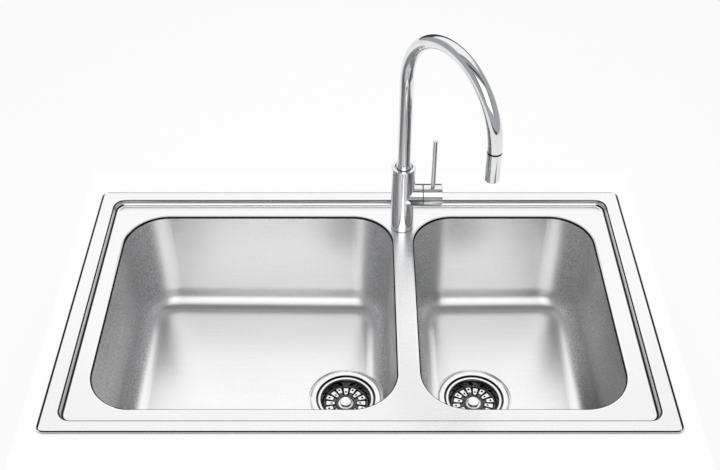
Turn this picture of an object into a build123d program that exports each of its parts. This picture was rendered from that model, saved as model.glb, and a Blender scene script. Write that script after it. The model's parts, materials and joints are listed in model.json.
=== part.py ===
from build123d import *
from math import atan2, cos, degrees, radians, sin, sqrt
import os

os.makedirs("parts", exist_ok=True)

# Inset double bowl kitchen sink with a pull-out mixer tap. Millimetres.
# Origin: centre of the sink's outline on the worktop's surface. X right, Y to the back, Z up.

# --- Sheet, rim and deck ---
sheet = 1.0                  # thickness of the stainless sheet
sink_length = 860.0          # outline along X, at the lip's edge
sink_width = 500.0           # outline along Y
rim_corner = 12.0            # corner radius of the outline
rim_height = 4.0             # flat band of the rim above the worktop
lip_spread = 2.0             # the lip leans out this far below the flat band
lip_gap = 0.3                # the lip's edge stays this far above the worktop
lip_round = 1.2
step_side_margin = 25.9      # outline to the top of the step down to the deck, left and right
step_back_margin = 22.3
step_front_margin = 19.9
step_corner = 18.0
step_height = 9.0            # from the rim down to the deck
step_lean = 14.0             # degrees that the step leans out of the vertical
step_roll = 1.5
step_cove = 6.0
seal_width = 9.0             # foam strip under the rim
seal_inset = 4.0             # outline to the strip's outer edge

# --- Bowls ---
large_bowl_length = 432.9    # mouth, where the flat deck ends; the small bowl takes the rest
large_bowl_margin = 51.8     # sink outline to the large bowl's mouth, on the left
small_bowl_margin = 55.2     # sink outline to the small bowl's mouth, on the right
divider_width = 28.2         # deck between the two mouths
bowl_front_margin = 44.0     # sink outline to both mouths, at the front
bowl_back_margin = 52.5
bowl_corner = 68.0
bowl_depth = 190.0           # deck to floor, at the drain
bowl_draft = 2.0             # degrees
bowl_cove = 35.0             # radius between wall and floor
bowl_fall = 0.6              # degrees that the floor falls towards its drain
mouth_roll = 3.0             # radius of the rolled edge
mouth_land = 1.5             # flat flange outside the rolled edge, welded to the deck
pad_thickness = 2.0          # sound-deadening pads under the floors
pad_margin = 57.0            # mouth to the pad, at the sides and the back
pad_corner = 12.0
pad_drain_gap = 14.0         # pressed drain seat to the pad's near edge

# --- Drains ---
large_drain_inset = 77.4     # divider's edge to the drain's axis
small_drain_inset = 99.1
drain_front = 222.1          # sink outline to both drains, from the front
press_radius = 59.5          # pressed seat round the drain
press_depth = 1.6
press_rise = 20.0            # height of the seat's side where it cuts the cove
drain_hole_radius = 48.0
flange_radius = 57.2
flange_thickness = 1.2
flange_crown = 1.0           # the flange's edge lies this far below its top
flange_flat_radius = 48.5    # inner edge of the flange's broad ring
flange_lean = 1.0            # the wall down to the ledge leans in this far
flange_slope = 3.0           # width of the slope at the flange's edge
ledge_radius = 46.2          # ledge that the basket's rim sits on
ledge_drop = 3.2
flange_round = 0.6
cup_radius = 42.6
cup_depth = 27.0
cup_wall = 1.0
cup_hole_radius = 5.5
cup_hole_circle = 27.0
cup_hole_count = 8
gasket_thickness = 1.0
gasket_outer_radius = 55.0
gasket_inner_radius = 49.0
waste_seal_thickness = 2.0
waste_wall = 2.5
waste_flange_radius = 56.5
waste_flange_thickness = 3.0
waste_bore_radius = 48.6
waste_depth = 31.0           # waste body's top to the start of its funnel
funnel_height = 14.0
outlet_radius = 23.9         # outside of the outlet's thread
outlet_bore_radius = 20.0
outlet_length = 28.0
post_radius = 6.0            # post that takes the waste screw
rib_thickness = 3.0
rib_height = 7.0
rib_count = 3
waste_screw_radius = 3.0
waste_screw_head_radius = 6.0
waste_screw_head_height = 2.4
waste_screw_slot_length = 9.6
waste_screw_slot_width = 1.2

# --- Strainer baskets ---
basket_rim_radius = 45.6
basket_mouth_radius = 39.2
basket_floor_radius = 34.2
basket_floor_drop = 13.6     # flange top to the basket's floor
basket_wall = 1.0
basket_bead = 1.6            # rounding where the rim turns down
basket_slot_count = 16
basket_slot_width = 2.4
basket_slot_inner = 14.5
basket_slot_outer = 32.0
knob_radius = 8.6
knob_height = 6.2            # above the basket's floor
knob_neck_radius = 5.2
knob_rim = 1.6               # height of the knob's straight edge
knob_under = 0.8             # slope under that edge
knob_round = 1.2
knob_foot_radius = 12.6
knob_foot_rise = 1.4         # slope from the foot's edge up to the neck
knob_stem_radius = 3.5
basket_seal_radius = 37.0
basket_seal_thickness = 5.0
basket_seal_edge = 1.5
basket_seal_recess_radius = 8.5
basket_seal_recess_depth = 3.4
seating_gap = 0.3            # between pieces that rest loosely on each other

# --- Worktop clips ---
worktop_thickness = 38.0
clip_width = 12.0
clip_bridge = 18.0           # span of the bracket under the deck
clip_foot = 8.0
clip_drop = 8.0              # deck to the bracket's bridge
clip_plate = 1.5
claw_plate = 2.5
claw_width = 16.0
claw_end_margin = 1.0        # the claws end this far inside the sink's outline, front and back
clip_setback = 6.5           # step's outline to the clip's screw
clip_screw_radius = 2.5
clip_head_radius = 4.5
clip_head_height = 3.0
clip_slot_length = 6.3
clip_slot_width = 1.0
clip_corner_inset = 140.0    # outline's corners to the clips next to them

# --- Tap body ---
tap_inset = 13.3             # large bowl's mouth to the tap's axis, across the divider
tap_back_margin = 75.0       # sink outline to the tap's axis, at the back
tap_hole_radius = 17.5
tap_radius = 18.7
tap_height = 120.0           # deck to the body's top
tap_bore_radius = 12.5
tap_edge = 0.4
base_gasket_thickness = 0.8
shank_radius = 16.3          # threaded tube through the deck
shank_engagement = 12.0
shank_length = 55.0          # below the deck
clamp_radius = 24.5
rubber_washer_thickness = 3.0
steel_washer_thickness = 2.0
nut_radius = 22.5
nut_height = 8.0
manifold_length = 14.0
inlet_radius = 4.45          # core of the supply tails' thread
inlet_spread = 6.4
inlet_set_back = 3.0
hose_passage_offset = 6.2
hose_clearance = 0.2

# --- Spout ---
spout_azimuth = -57.2        # degrees, from +X towards +Y
spout_arch_radius = 102.0
spout_spring_height = 280.0  # deck to the springing of the arch
pipe_radius = 10.3
pipe_wall = 1.3
pipe_insertion = 35.0        # pipe inside the body
journal_radius = 12.95
journal_length = 28.2
collar_radius = 12.2
collar_rise = 3.5            # collar above the body's top edge
collar_edge = 1.0
bearing_wall = 1.2
bearing_recess = 1.5         # bearing's top below the body's top
running_fit = 0.05
groove_width = 4.2
groove_depth = 1.2
spout_screw_radius = 1.75
spout_screw_drop = 8.0       # body's top to the retaining screw
spout_screw_sink = 0.6       # the screw's head below the body's surface
spout_screw_azimuth = -148.0

# --- Pull-out spray ---
dock_thickness = 1.2
dock_inset = 0.2             # the ring's edge inside the pipe's outside
dock_sleeve_length = 8.0
dock_sleeve_radius = 8.6
dock_bore_radius = 7.0
spray_length = 47.0
spray_foot_radius = 9.8
spray_wall = 1.2
spray_round = 0.8
aerator_length = 8.0
aerator_recess = 1.0
aerator_hole_radius = 0.8
aerator_hole_pitch = 3.0
aerator_hole_rows = 3
spray_core_gap = 4.0         # spray's top to the core's top
hose_radius = 5.6
hose_wall = 1.6
hose_seat = 10.0             # hose inside the spray's core
hose_reach = 10.0            # hose inside the pipe

# --- Handle ---
branch_height = 63.4         # deck to the branch's axis
branch_radius = 18.35
branch_length = 30.2         # tap's axis to the branch's end face
branch_bore_radius = 14.0
branch_bore_floor = 15.0     # tap's axis to the floor of the branch's bore
channel_radius = 2.4
channel_circle = 7.0
channel_count = 3            # cold way in, hot way in, mixed way out
tilt_inset = 8.0             # tilting centre behind the branch's end face
seal_ring_thickness = 0.8    # coloured ring on the branch's end
seal_ring_recess = 0.25
dome_wall = 1.5
dome_hole_radius = 12.5
dome_gap = 0.5               # between the dome and the hollow of the cap
cap_start = 32.0             # tap's axis to the cap's rim
cap_end = 58.8
plate_gap = 0.5              # groove between the cap and its end plate
plate_end = 61.4
plate_spigot_radius = 17.4
plate_edge = 0.5
lever_offset = 46.7          # tap's axis to the lever
lever_radius = 3.65
lever_top = 169.7            # deck to the lever's tip
lever_socket = 8.0           # branch's axis to the lever's foot
lever_round = 1.0
stem_radius = 3.4
stem_end = 56.0
cap_screw_offset = 51.5
cap_screw_radius = 2.0
cap_screw_sink = 1.2
cartridge_length = 13.6
cartridge_clearance = 0.1
carrier_radius = 10.4
carrier_back = 6.6           # carrier's back behind the tilting centre
carrier_front = 5.0
carrier_slot_gap = 0.4
stem_pin_radius = 1.25
stem_pin_inset = 0.2         # the pin's ends inside the carrier
cartridge_nut_bore = 9.6

# --- Levels and centres that follow from the sizes above ---
deck_top = rim_height - step_height
deck_under = deck_top - sheet
step_length = sink_length - 2 * step_side_margin
step_width = sink_width - step_back_margin - step_front_margin
step_y = (step_front_margin - step_back_margin) / 2
floor_z = deck_top - bowl_depth
bowl_width = sink_width - bowl_front_margin - bowl_back_margin
small_bowl_length = sink_length - large_bowl_margin - large_bowl_length - divider_width - small_bowl_margin
large_bowl_x = -sink_length / 2 + large_bowl_margin + large_bowl_length / 2
divider_left = large_bowl_x + large_bowl_length / 2
divider_right = divider_left + divider_width
small_bowl_x = divider_right + small_bowl_length / 2
bowl_y = -sink_width / 2 + bowl_front_margin + bowl_width / 2
large_drain_x = divider_left - large_drain_inset
small_drain_x = divider_right + small_drain_inset
drain_y = -sink_width / 2 + drain_front
seat_z = floor_z - press_depth
flange_z = seat_z + gasket_thickness + flange_thickness
tap_x = divider_left + tap_inset
tap_y = sink_width / 2 - tap_back_margin
tap_top = deck_top + tap_height
branch_z = deck_top + branch_height
tilt_x = branch_length - tilt_inset
dome_radius = sqrt(tilt_inset**2 + branch_radius**2)
tap_axis = Axis((tap_x, tap_y, 0), (0, 0, 1))
branch_axis = Axis((tap_x, tap_y, branch_z), (1, 0, 0))
tap_section = Plane(origin=(tap_x, tap_y, 0), x_dir=(1, 0, 0), z_dir=(0, -1, 0))
branch_section = Plane(origin=(tap_x, tap_y, branch_z), x_dir=(1, 0, 0), z_dir=(0, 0, 1))


def bowl_floor(fall, drain_x):
    """Plane of a bowl's floor: it passes through the drain and rises away from the divider."""
    return Plane(origin=(drain_x, drain_y, floor_z), z_dir=(sin(radians(fall)), 0, cos(radians(fall))))


def bowl_form(center_x, length, floor, grow):
    """The space inside a bowl, grown outwards on every side but the top."""
    with BuildPart() as form:
        with BuildSketch(Plane.XY.offset(deck_top)):
            with Locations((center_x, bowl_y)):
                RectangleRounded(length - 2 * mouth_roll + 2 * grow,
                                 bowl_width - 2 * mouth_roll + 2 * grow,
                                 bowl_corner - mouth_roll + grow)
        extrude(amount=-bowl_depth - 3 * bowl_cove, taper=bowl_draft)
        split(bisect_by=floor.offset(-grow), keep=Keep.TOP)
        fillet(form.faces().sort_by(Axis.Z)[0].edges(), bowl_cove + grow)
    return form.part


def step_form(grow):
    """The recess of the deck inside the rim, grown outwards on every side but the top."""
    with BuildPart() as form:
        with BuildSketch(Plane.XY.offset(rim_height)):
            with Locations((0, step_y)):
                RectangleRounded(step_length + 2 * grow, step_width + 2 * grow, step_corner + grow)
        extrude(amount=-step_height - grow, taper=step_lean)
        fillet(form.faces().sort_by(Axis.Z)[0].edges(), step_cove + grow)
    return form.part


# ============================== Sheet metal ==============================

step_hollow = step_form(0)
step_skin = step_form(sheet)
lip_drop = rim_height - lip_gap
lip_angle = degrees(atan2(lip_spread, lip_drop))
lip_wall = sheet / cos(radians(lip_angle))

with BuildPart() as sink_deck:
    with BuildSketch(Plane.XY.offset(lip_gap)):
        RectangleRounded(sink_length, sink_width, rim_corner)
    extrude(amount=lip_drop, taper=lip_angle)
    fillet(sink_deck.faces().sort_by(Axis.Z)[-1].edges(), lip_round)
    with BuildSketch(Plane.XY.offset(lip_gap)):
        RectangleRounded(sink_length - 2 * lip_wall, sink_width - 2 * lip_wall, rim_corner - lip_wall)
    extrude(amount=lip_drop - sheet, taper=lip_angle, mode=Mode.SUBTRACT)
    add(step_skin)
    add(step_hollow, mode=Mode.SUBTRACT)
    fillet(sink_deck.faces().sort_by(Axis.Z)[-1].inner_wires()[0].edges(), step_roll)
    with BuildSketch(Plane.XY.offset(deck_top)):
        for mouth_x, mouth_length in ((large_bowl_x, large_bowl_length), (small_bowl_x, small_bowl_length)):
            with Locations((mouth_x, bowl_y)):
                RectangleRounded(mouth_length + 2 * mouth_land, bowl_width + 2 * mouth_land,
                                 bowl_corner + mouth_land)
        with Locations((tap_x, tap_y)):
            Circle(tap_hole_radius)
    extrude(amount=-sheet, mode=Mode.SUBTRACT)
sink_deck.part.label = "sink_deck"
export_step(sink_deck.part, "parts/sink_deck.step")

with BuildPart() as rim_seal:
    with BuildSketch():
        RectangleRounded(sink_length - 2 * seal_inset, sink_width - 2 * seal_inset, rim_corner - seal_inset)
        RectangleRounded(sink_length - 2 * seal_inset - 2 * seal_width,
                         sink_width - 2 * seal_inset - 2 * seal_width,
                         rim_corner, mode=Mode.SUBTRACT)
    extrude(amount=rim_height - sheet)
rim_seal.part.label = "rim_seal"
export_step(rim_seal.part, "parts/rim_seal.step")

drains = (("large", large_drain_x), ("small", small_drain_x))
bowls = (
    ("large", large_bowl_x, large_bowl_length, large_drain_x, bowl_floor(bowl_fall, large_drain_x)),
    ("small", small_bowl_x, small_bowl_length, small_drain_x, bowl_floor(-bowl_fall, small_drain_x)),
)

for size, center_x, length, drain_x, floor in bowls:
    hollow = bowl_form(center_x, length, floor, 0)
    skin = bowl_form(center_x, length, floor, sheet)
    with BuildPart() as bowl:
        with BuildSketch(Plane.XY.offset(deck_top)):
            with Locations((center_x, bowl_y)):
                RectangleRounded(length + 2 * mouth_land, bowl_width + 2 * mouth_land,
                                 bowl_corner + mouth_land)
        extrude(amount=-sheet)
        add(skin)
        flange_under = bowl.faces().filter_by(Axis.Z).sort_by(Axis.Z)[-2]
        fillet(flange_under.inner_wires()[0].edges(), mouth_roll - sheet)
        with BuildSketch(Plane.XY.offset(seat_z - sheet)):
            with Locations((drain_x, drain_y)):
                Circle(press_radius + sheet)
        extrude(amount=press_rise + sheet)
        add(hollow, mode=Mode.SUBTRACT)
        fillet(bowl.faces().sort_by(Axis.Z)[-1].inner_wires()[0].edges(), mouth_roll)
        with BuildSketch(Plane.XY.offset(seat_z)):
            with Locations((drain_x, drain_y)):
                Circle(press_radius)
        extrude(amount=press_rise, mode=Mode.SUBTRACT)
        with BuildSketch(Plane.XY.offset(seat_z - sheet)):
            with Locations((drain_x, drain_y)):
                Circle(drain_hole_radius)
        extrude(amount=sheet, mode=Mode.SUBTRACT)
    bowl.part.label = f"{size}_bowl"
    export_step(bowl.part, f"parts/{size}_bowl.step")

# Sound-deadening pads lie under the floors, behind the drains.
pad_front = drain_y + press_radius + pad_drain_gap
pad_back = bowl_y + bowl_width / 2 - pad_margin
pad_depth = pad_back - pad_front

for size, center_x, length, drain_x, floor in bowls:
    with BuildPart() as sound_pad:
        with BuildSketch(floor.offset(-sheet)):
            with Locations((center_x - drain_x, (pad_front + pad_back) / 2 - drain_y)):
                RectangleRounded(length - 2 * pad_margin, pad_depth, min(pad_corner, pad_depth / 3))
        extrude(amount=-pad_thickness)
    sound_pad.part.label = f"{size}_sound_pad"
    export_step(sound_pad.part, f"parts/{size}_sound_pad.step")

# ============================== Worktop clips ==============================

# One clip in its own frame: X outwards to the worktop, Z up, the screw on the Z axis.
claw_reach = step_front_margin + clip_setback - claw_end_margin
claw_top = -worktop_thickness
claw_base = claw_top - claw_plate
bridge_z = deck_under - clip_drop

with BuildPart() as clip_bracket:
    with BuildSketch(Plane.YZ.offset(-clip_width / 2)):
        with Locations((0, bridge_z + clip_plate / 2)):
            Rectangle(clip_bridge, clip_plate)
        for side in (-1, 1):
            with Locations((side * (clip_bridge - clip_plate) / 2, (bridge_z + deck_under) / 2)):
                Rectangle(clip_plate, clip_drop)
            with Locations((side * (clip_bridge + clip_foot - clip_plate) / 2, deck_under - clip_plate / 2)):
                Rectangle(clip_foot + clip_plate, clip_plate)
    extrude(amount=clip_width)
    with BuildSketch(Plane.XY.offset(bridge_z)):
        Circle(clip_screw_radius + running_fit)
    extrude(amount=clip_plate, mode=Mode.SUBTRACT)

claw_heel = clip_width / 2 + claw_plate

with BuildPart() as clip_claw:
    with BuildSketch(Plane.XZ.offset(-claw_width / 2)):
        with BuildLine():
            Polyline((-claw_heel, deck_under), (-claw_heel, claw_base), (claw_reach, claw_base),
                     (claw_reach, claw_top), (claw_reach - claw_plate, claw_top),
                     (claw_reach - 2 * claw_plate, claw_base + claw_plate / 2),
                     (-claw_heel + claw_plate / 2, claw_base + claw_plate / 2),
                     (-claw_heel + claw_plate / 2, deck_under), close=True)
        make_face()
    extrude(amount=claw_width)
    with BuildSketch(Plane.XY.offset(claw_base)):
        Circle(clip_screw_radius + 3 * running_fit)
    extrude(amount=claw_plate, mode=Mode.SUBTRACT)

with BuildPart() as clip_screw:
    with BuildSketch(Plane.XY.offset(claw_base - clip_head_height)):
        Circle(clip_head_radius)
        Rectangle(clip_slot_length, clip_slot_width, mode=Mode.SUBTRACT)
    extrude(amount=clip_head_height / 2)
    with BuildSketch(Plane.XY.offset(claw_base - clip_head_height / 2)):
        Circle(clip_head_radius)
    extrude(amount=clip_head_height / 2)
    with BuildSketch(Plane.XY.offset(claw_base)):
        Circle(clip_screw_radius)
    extrude(amount=bridge_z + 2 * clip_plate - claw_base)

clip_side_x = step_length / 2 - clip_setback
clip_back_y = step_y + step_width / 2 - clip_setback
clip_front_y = step_y - step_width / 2 + clip_setback
clip_places = []
for place_x in (clip_corner_inset - sink_length / 2, 0, sink_length / 2 - clip_corner_inset):
    clip_places.append(Location((place_x, clip_back_y, 0), (0, 0, 90)))
    clip_places.append(Location((place_x, clip_front_y, 0), (0, 0, -90)))
for place_y in (clip_corner_inset - sink_width / 2, sink_width / 2 - clip_corner_inset):
    clip_places.append(Location((clip_side_x, place_y, 0), (0, 0, 0)))
    clip_places.append(Location((-clip_side_x, place_y, 0), (0, 0, 180)))

clip_kinds = (("clip_brackets", clip_bracket), ("clip_claws", clip_claw), ("clip_screws", clip_screw))
for clip_name, clip_piece in clip_kinds:
    with BuildPart() as clip_group:
        with Locations(*clip_places):
            add(clip_piece.part)
    clip_group.part.label = clip_name
    export_step(clip_group.part, f"parts/{clip_name}.step")

# ============================== Drains and baskets ==============================

cup_floor_z = -cup_depth
cup_under_z = cup_floor_z - cup_wall
waste_top_z = seat_z - sheet - waste_seal_thickness - flange_z
funnel_top_z = waste_top_z - waste_depth
funnel_low_z = funnel_top_z - funnel_height
outlet_end_z = funnel_low_z - outlet_length
basket_rim_z = -ledge_drop + seating_gap + basket_wall
basket_floor_z = -basket_floor_drop
basket_under_z = basket_floor_z - basket_wall
basket_seal_z = cup_floor_z + seating_gap
basket_seal_top = basket_seal_z + basket_seal_thickness
knob_foot_z = basket_floor_z + basket_wall
knob_top_z = basket_floor_z + knob_height
basket_slot_middle = (basket_slot_inner + basket_slot_outer) / 2

for size, drain_x in drains:
    # Heights in these profiles are measured from the top of the strainer's flange.
    profile = Plane(origin=(drain_x, drain_y, flange_z), x_dir=(1, 0, 0), z_dir=(0, -1, 0))
    drain_axis = Axis((drain_x, drain_y, 0), (0, 0, 1))
    level = Plane(origin=(drain_x, drain_y, flange_z))

    with BuildPart() as strainer_flange:
        with BuildSketch(profile) as flange_sketch:
            with BuildLine():
                Polyline((0, cup_floor_z), (cup_radius, cup_floor_z), (cup_radius, -ledge_drop),
                         (ledge_radius, -ledge_drop), (flange_flat_radius - flange_lean, 0),
                         (flange_radius - flange_slope, 0), (flange_radius, -flange_crown),
                         (flange_radius, -flange_thickness), (flange_flat_radius, -flange_thickness),
                         (ledge_radius, -ledge_drop - cup_wall),
                         (cup_radius + cup_wall, -ledge_drop - cup_wall),
                         (cup_radius + cup_wall, cup_under_z), (0, cup_under_z), close=True)
            make_face()
            fillet(flange_sketch.vertices().group_by(Axis.Y)[-1], flange_round)
        revolve(axis=drain_axis)
        with BuildSketch(level.offset(cup_under_z)):
            with PolarLocations(cup_hole_circle, cup_hole_count):
                Circle(cup_hole_radius)
            Circle(waste_screw_radius + running_fit)
        extrude(amount=cup_wall, mode=Mode.SUBTRACT)
    strainer_flange.part.label = f"{size}_strainer_flange"
    export_step(strainer_flange.part, f"parts/{size}_strainer_flange.step")

    with BuildPart() as flange_gasket:
        with BuildSketch(Plane(origin=(drain_x, drain_y, seat_z))):
            Circle(gasket_outer_radius)
            Circle(gasket_inner_radius, mode=Mode.SUBTRACT)
        extrude(amount=gasket_thickness)
    flange_gasket.part.label = f"{size}_flange_gasket"
    export_step(flange_gasket.part, f"parts/{size}_flange_gasket.step")

    with BuildPart() as waste_seal:
        with BuildSketch(Plane(origin=(drain_x, drain_y, seat_z - sheet))):
            Circle(gasket_outer_radius)
            Circle(gasket_inner_radius, mode=Mode.SUBTRACT)
        extrude(amount=-waste_seal_thickness)
    waste_seal.part.label = f"{size}_waste_seal"
    export_step(waste_seal.part, f"parts/{size}_waste_seal.step")

    with BuildPart() as waste_body:
        with BuildSketch(profile):
            with BuildLine():
                Polyline((waste_bore_radius, waste_top_z), (waste_flange_radius, waste_top_z),
                         (waste_flange_radius, waste_top_z - waste_flange_thickness),
                         (waste_bore_radius + waste_wall, waste_top_z - waste_flange_thickness),
                         (waste_bore_radius + waste_wall, funnel_top_z - waste_wall),
                         (outlet_radius + waste_wall, funnel_low_z - waste_wall),
                         (outlet_radius, funnel_low_z - waste_wall),
                         (outlet_radius, outlet_end_z - waste_wall),
                         (outlet_bore_radius, outlet_end_z - waste_wall),
                         (outlet_bore_radius, funnel_low_z),
                         (waste_bore_radius, funnel_top_z), close=True)
            make_face()
        revolve(axis=drain_axis)
        with BuildSketch(level.offset(cup_under_z)):
            Circle(post_radius)
        extrude(amount=-(cup_under_z - funnel_low_z))
        with BuildSketch(level.offset(funnel_top_z)):
            with PolarLocations(waste_bore_radius / 2, rib_count):
                Rectangle(waste_bore_radius + waste_wall, rib_thickness)
        extrude(amount=rib_height)
        with BuildSketch(level.offset(cup_under_z)):
            Circle(waste_screw_radius + running_fit)
        extrude(amount=-(cup_under_z - funnel_low_z), mode=Mode.SUBTRACT)
    waste_body.part.label = f"{size}_waste_body"
    export_step(waste_body.part, f"parts/{size}_waste_body.step")

    with BuildPart() as waste_screw:
        with BuildSketch(level.offset(cup_floor_z)):
            Circle(waste_screw_head_radius)
        extrude(amount=waste_screw_head_height)
        fillet(waste_screw.faces().sort_by(Axis.Z)[-1].edges(), waste_screw_head_height / 2)
        with BuildSketch(level.offset(cup_floor_z)):
            Circle(waste_screw_radius)
        extrude(amount=-(cup_floor_z - funnel_low_z - post_radius))
        with BuildSketch(level.offset(cup_floor_z + waste_screw_head_height)):
            Rectangle(waste_screw_slot_length, waste_screw_slot_width)
        extrude(amount=-waste_screw_head_height / 2, mode=Mode.SUBTRACT)
    waste_screw.part.label = f"{size}_waste_screw"
    export_step(waste_screw.part, f"parts/{size}_waste_screw.step")

    with BuildPart() as basket:
        with BuildSketch(profile) as basket_sketch:
            with BuildLine():
                Polyline((0, basket_floor_z), (basket_floor_radius, basket_floor_z),
                         (basket_mouth_radius, basket_rim_z), (basket_rim_radius, basket_rim_z),
                         (basket_rim_radius, basket_rim_z - basket_wall),
                         (basket_mouth_radius + basket_wall, basket_rim_z - basket_wall),
                         (basket_floor_radius + basket_wall, basket_under_z),
                         (0, basket_under_z), close=True)
            make_face()
            fillet(basket_sketch.vertices().group_by(Axis.Y)[-1].sort_by(Axis.X)[0], basket_bead)
        revolve(axis=drain_axis)
        with BuildSketch(level.offset(basket_under_z)):
            with PolarLocations(basket_slot_middle, basket_slot_count):
                SlotOverall(basket_slot_outer - basket_slot_inner, basket_slot_width)
            Circle(knob_stem_radius + running_fit)
        extrude(amount=basket_wall, mode=Mode.SUBTRACT)
    basket.part.label = f"{size}_basket"
    export_step(basket.part, f"parts/{size}_basket.step")

    with BuildPart() as basket_knob:
        with BuildSketch(profile) as knob_sketch:
            with BuildLine():
                Polyline((0, basket_seal_top), (knob_stem_radius, basket_seal_top),
                         (knob_stem_radius, basket_floor_z), (knob_foot_radius, basket_floor_z),
                         (knob_foot_radius, knob_foot_z), (knob_neck_radius, knob_foot_z + knob_foot_rise),
                         (knob_neck_radius, knob_top_z - knob_rim - knob_under),
                         (knob_radius, knob_top_z - knob_rim),
                         (knob_radius, knob_top_z), (0, knob_top_z), close=True)
            make_face()
            fillet(knob_sketch.vertices().group_by(Axis.Y)[-1].sort_by(Axis.X)[-1], knob_round)
        revolve(axis=drain_axis)
    basket_knob.part.label = f"{size}_basket_knob"
    export_step(basket_knob.part, f"parts/{size}_basket_knob.step")

    with BuildPart() as basket_seal:
        with BuildSketch(level.offset(basket_seal_z)):
            Circle(basket_seal_radius)
        extrude(amount=basket_seal_thickness)
        chamfer(basket_seal.faces().sort_by(Axis.Z)[-1].edges(), basket_seal_edge)
        with BuildSketch(level.offset(basket_seal_z)):
            Circle(basket_seal_recess_radius)
        extrude(amount=basket_seal_recess_depth, mode=Mode.SUBTRACT)
    basket_seal.part.label = f"{size}_basket_seal"
    export_step(basket_seal.part, f"parts/{size}_basket_seal.step")

# ============================== Tap: body and fixing ==============================

bearing_bore_radius = journal_radius + running_fit
bearing_radius = bearing_bore_radius + bearing_wall
journal_top = tap_top - bearing_recess
journal_foot = tap_top - collar_rise - journal_length
shoulder_z = journal_foot - seating_gap
base_z = deck_top + base_gasket_thickness
screw_direction = (cos(radians(spout_screw_azimuth)), sin(radians(spout_screw_azimuth)), 0)
screw_z = tap_top - spout_screw_drop
screw_plane = Plane(origin=(tap_x, tap_y, screw_z), x_dir=(0, 0, 1), z_dir=screw_direction)

with BuildPart() as tap_body:
    with BuildSketch(Plane.XY.offset(base_z)):
        with Locations((tap_x, tap_y)):
            Circle(tap_radius)
    extrude(amount=tap_top - base_z)
    chamfer(tap_body.faces().sort_by(Axis.Z)[-1].edges(), tap_edge)
    with BuildSketch(Plane.YZ.offset(tap_x)):
        with Locations((tap_y, branch_z)):
            Circle(branch_radius)
    extrude(amount=branch_length)
    with BuildSketch(Plane.XY.offset(base_z)):
        with Locations((tap_x, tap_y)):
            Circle(tap_bore_radius)
    extrude(amount=tap_top - base_z, mode=Mode.SUBTRACT)
    with BuildSketch(Plane.XY.offset(shoulder_z)):
        with Locations((tap_x, tap_y)):
            Circle(bearing_radius)
    extrude(amount=tap_top - shoulder_z, mode=Mode.SUBTRACT)
    with BuildSketch(Plane.XY.offset(base_z)):
        with Locations((tap_x, tap_y)):
            Circle(shank_radius + running_fit)
    extrude(amount=shank_engagement, mode=Mode.SUBTRACT)
    with BuildSketch(Plane.YZ.offset(tap_x + branch_bore_floor)):
        with Locations((tap_y, branch_z)):
            Circle(branch_bore_radius)
    extrude(amount=branch_length - branch_bore_floor, mode=Mode.SUBTRACT)
    with BuildSketch(Plane.YZ.offset(tap_x)):
        with Locations((tap_y, branch_z)):
            with PolarLocations(channel_circle, channel_count):
                Circle(channel_radius)
    extrude(amount=branch_bore_floor, mode=Mode.SUBTRACT)
    with BuildSketch(screw_plane):
        Circle(spout_screw_radius + running_fit)
    extrude(amount=2 * tap_radius, mode=Mode.SUBTRACT)
tap_body.part.label = "tap_body"
export_step(tap_body.part, "parts/tap_body.step")

# Rings round the tap's axis: name, lower face, upper face, bore radius, outer radius.
washer_z = deck_under - rubber_washer_thickness
plate_z = washer_z - steel_washer_thickness
shank_bore = shank_radius + running_fit
rings = (
    ("tap_base_gasket", deck_top, base_z, shank_bore, tap_radius - tap_edge),
    ("tap_shank", deck_under - shank_length, base_z + shank_engagement, tap_bore_radius, shank_radius),
    ("shank_rubber_washer", washer_z, deck_under, shank_bore, clamp_radius),
    ("shank_steel_washer", plate_z, washer_z, shank_bore, clamp_radius),
)

for ring_name, ring_low, ring_high, ring_bore, ring_radius in rings:
    with BuildPart() as ring:
        with BuildSketch(Plane.XY.offset(ring_low)):
            with Locations((tap_x, tap_y)):
                Circle(ring_radius)
                Circle(ring_bore, mode=Mode.SUBTRACT)
        extrude(amount=ring_high - ring_low)
    ring.part.label = ring_name
    export_step(ring.part, f"parts/{ring_name}.step")

with BuildPart() as shank_nut:
    with BuildSketch(Plane.XY.offset(plate_z - nut_height)):
        with Locations((tap_x, tap_y)):
            RegularPolygon(nut_radius, 6)
            Circle(shank_bore, mode=Mode.SUBTRACT)
    extrude(amount=nut_height)
shank_nut.part.label = "shank_nut"
export_step(shank_nut.part, "parts/shank_nut.step")

# Plug in the shank's foot: two threaded inlets at the sides and the spray hose's passage in front.
with BuildPart() as inlet_manifold:
    with BuildSketch(Plane.XY.offset(deck_under - shank_length)):
        with Locations((tap_x, tap_y)):
            Circle(tap_bore_radius)
            with Locations((-inlet_spread, inlet_set_back), (inlet_spread, inlet_set_back)):
                Circle(inlet_radius, mode=Mode.SUBTRACT)
            with Locations((0, -hose_passage_offset)):
                Circle(hose_radius + hose_clearance, mode=Mode.SUBTRACT)
    extrude(amount=manifold_length)
inlet_manifold.part.label = "inlet_manifold"
export_step(inlet_manifold.part, "parts/inlet_manifold.step")

# ============================== Tap: spout ==============================

spout_direction = Vector(cos(radians(spout_azimuth)), sin(radians(spout_azimuth)), 0)
spout_plane = Plane(origin=(tap_x, tap_y, 0), x_dir=spout_direction,
                    z_dir=(spout_direction.Y, -spout_direction.X, 0))
spring_z = deck_top + spout_spring_height
pipe_foot = tap_top - pipe_insertion
pipe_bore = pipe_radius - pipe_wall
outlet_x = tap_x + 2 * spout_arch_radius * spout_direction.X
outlet_y = tap_y + 2 * spout_arch_radius * spout_direction.Y

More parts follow.
